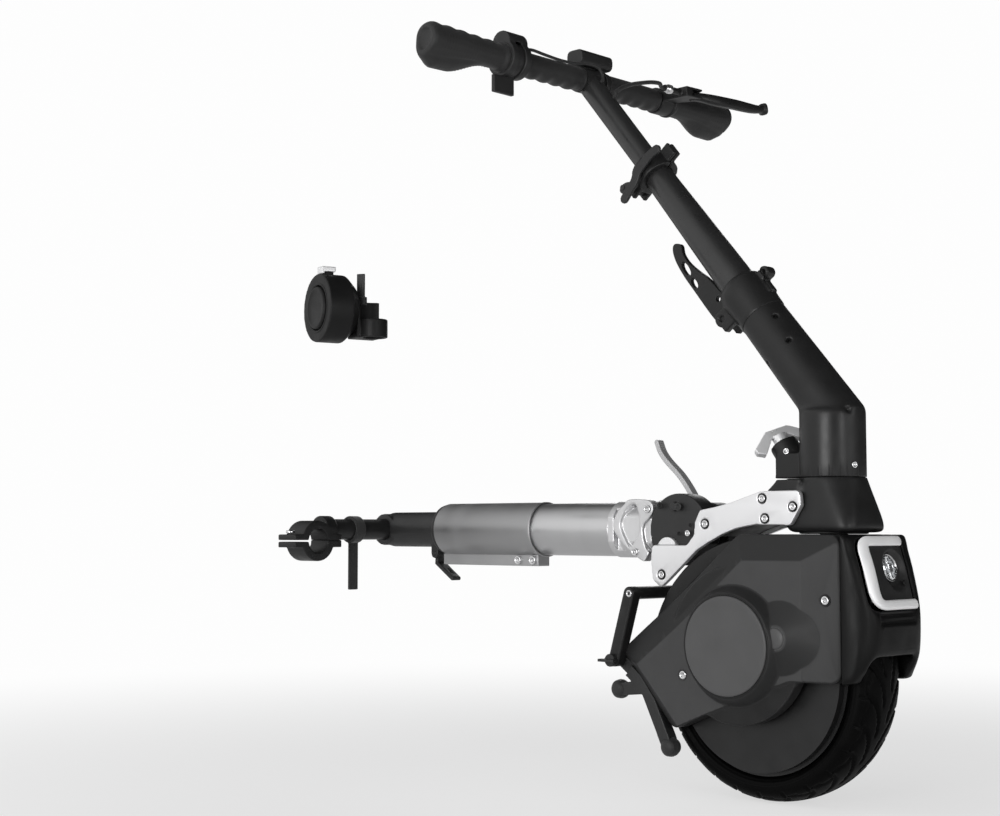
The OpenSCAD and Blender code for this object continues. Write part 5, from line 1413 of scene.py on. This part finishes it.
# metres from the middle over which the floor whitens, and how white it starts
FLOOR_FADE = (0.45, 2, 0.62)
FLOOR_MIRRORED = 0.45
# direction, start and end of the rise, and low and high strength
LEFT_LIGHT = ((-0.56, -0.83, 0), -0.05, 0.9, 0.05, 1)
TOP_LIGHT = ((0, 0, 1), 0.5, 1, 0, 0.06)
# name, place, aim, size and power
LAMPS = [
    ("key", (0.35, -2.5, 0.4), (-0.1, 0, 0.35), 1.2, 28),
    ("fill", (2, 0.3, 0.6), (0.05, 0, 0.3), 1, 5),
    ("glint", (2.1, -0.9, 0.5), (0.05, 0, 0.35), 0.6, 9),
    ("back", (-1.6, 2.2, 1.3), (-0.2, 0, 0.35), 1.2, 9),
]


def make_floor():
    """White to the camera further out, and shaded by the part nearer in."""
    mesh = grid_mesh([[(x, y, FLOOR_Z) for x in FLOOR_SPAN] for y in FLOOR_SPAN], wrap_u=False)
    floor = new_object("floor", mesh)
    mat = bpy.data.materials.new("floor_sweep")
    g = Graph(mat)
    spot = g.add("TexCoord")
    far = g.add("VectorMath", {0: (spot, "Object")}, operation="LENGTH")
    fade = g.spread((far, "Value"), *FLOOR_FADE, interpolation_type="SMOOTHSTEP")
    lit = g.add("BsdfDiffuse", {"Color": FLOOR_GREY})
    white = g.add("Emission", {"Color": PAPER})
    rays = g.add("LightPath")
    mirrored = g.work("MULTIPLY", (rays, "Is Glossy Ray"), FLOOR_MIRRORED)
    shown = g.work("MAXIMUM", (rays, "Is Camera Ray"), mirrored)
    shown = g.work("MAXIMUM", shown, (rays, "Is Transmission Ray"))
    share = g.work("MULTIPLY", shown, fade)
    mix = g.add("MixShader", {"Fac": share, 1: (lit, "BSDF"), 2: (white, "Emission")})
    g.add("OutputMaterial", {"Surface": (mix, "Shader")})
    floor.data.materials.append(mat)
    floor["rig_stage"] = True


def make_world():
    """White to the camera. For the rest, a studio that is bright on the left and dim on the right."""
    SCENE.world = bpy.data.worlds.new("studio")
    g = Graph(SCENE.world)
    spot = g.add("TexCoord")

    def lobe(direction, *levels):
        sockets = {0: (spot, "Generated"), 1: Vector(direction).normalized()}
        aim = g.add("VectorMath", sockets, operation="DOT_PRODUCT")
        return g.spread((aim, "Value"), *levels, interpolation_type="SMOOTHSTEP")

    both = g.work("MAXIMUM", lobe(*LEFT_LIGHT), lobe(*TOP_LIGHT))
    soft = g.add("Background", {"Color": (1, 1, 1, 1), "Strength": both})
    white = g.add("Background", {"Color": PAPER})
    rays = g.add("LightPath")
    shown = g.work("MAXIMUM", (rays, "Is Camera Ray"), (rays, "Is Transmission Ray"))
    mix = g.add("MixShader", {"Fac": shown, 1: (soft, "Background"), 2: (white, "Background")})
    g.add("OutputWorld", {"Surface": (mix, "Shader")})


def aimed(name, data, at, way):
    """A lamp or camera that looks along a direction."""
    obj = new_object(name, data)
    obj.location = at
    obj.rotation_euler = way.to_track_quat("-Z", "Y").to_euler()
    return obj


def make_lamps():
    for name, at, to, size, power in LAMPS:
        light = bpy.data.lights.new(name, "AREA")
        light.shape = "DISK"
        light.size = size
        light.energy = power
        aimed(name, light, at, Vector(to) - Vector(at))


def make_camera():
    data = bpy.data.cameras.new("camera")
    data.sensor_width = SENSOR
    data.lens = FOCAL * SENSOR / FRAME_W
    data.clip_end = 50
    SCENE.camera = aimed("camera", data, EYE * MM, LOOK)


make_floor()
make_world()
make_lamps()
make_camera()
SCENE.view_settings.view_transform = "Standard"

lo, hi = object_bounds()
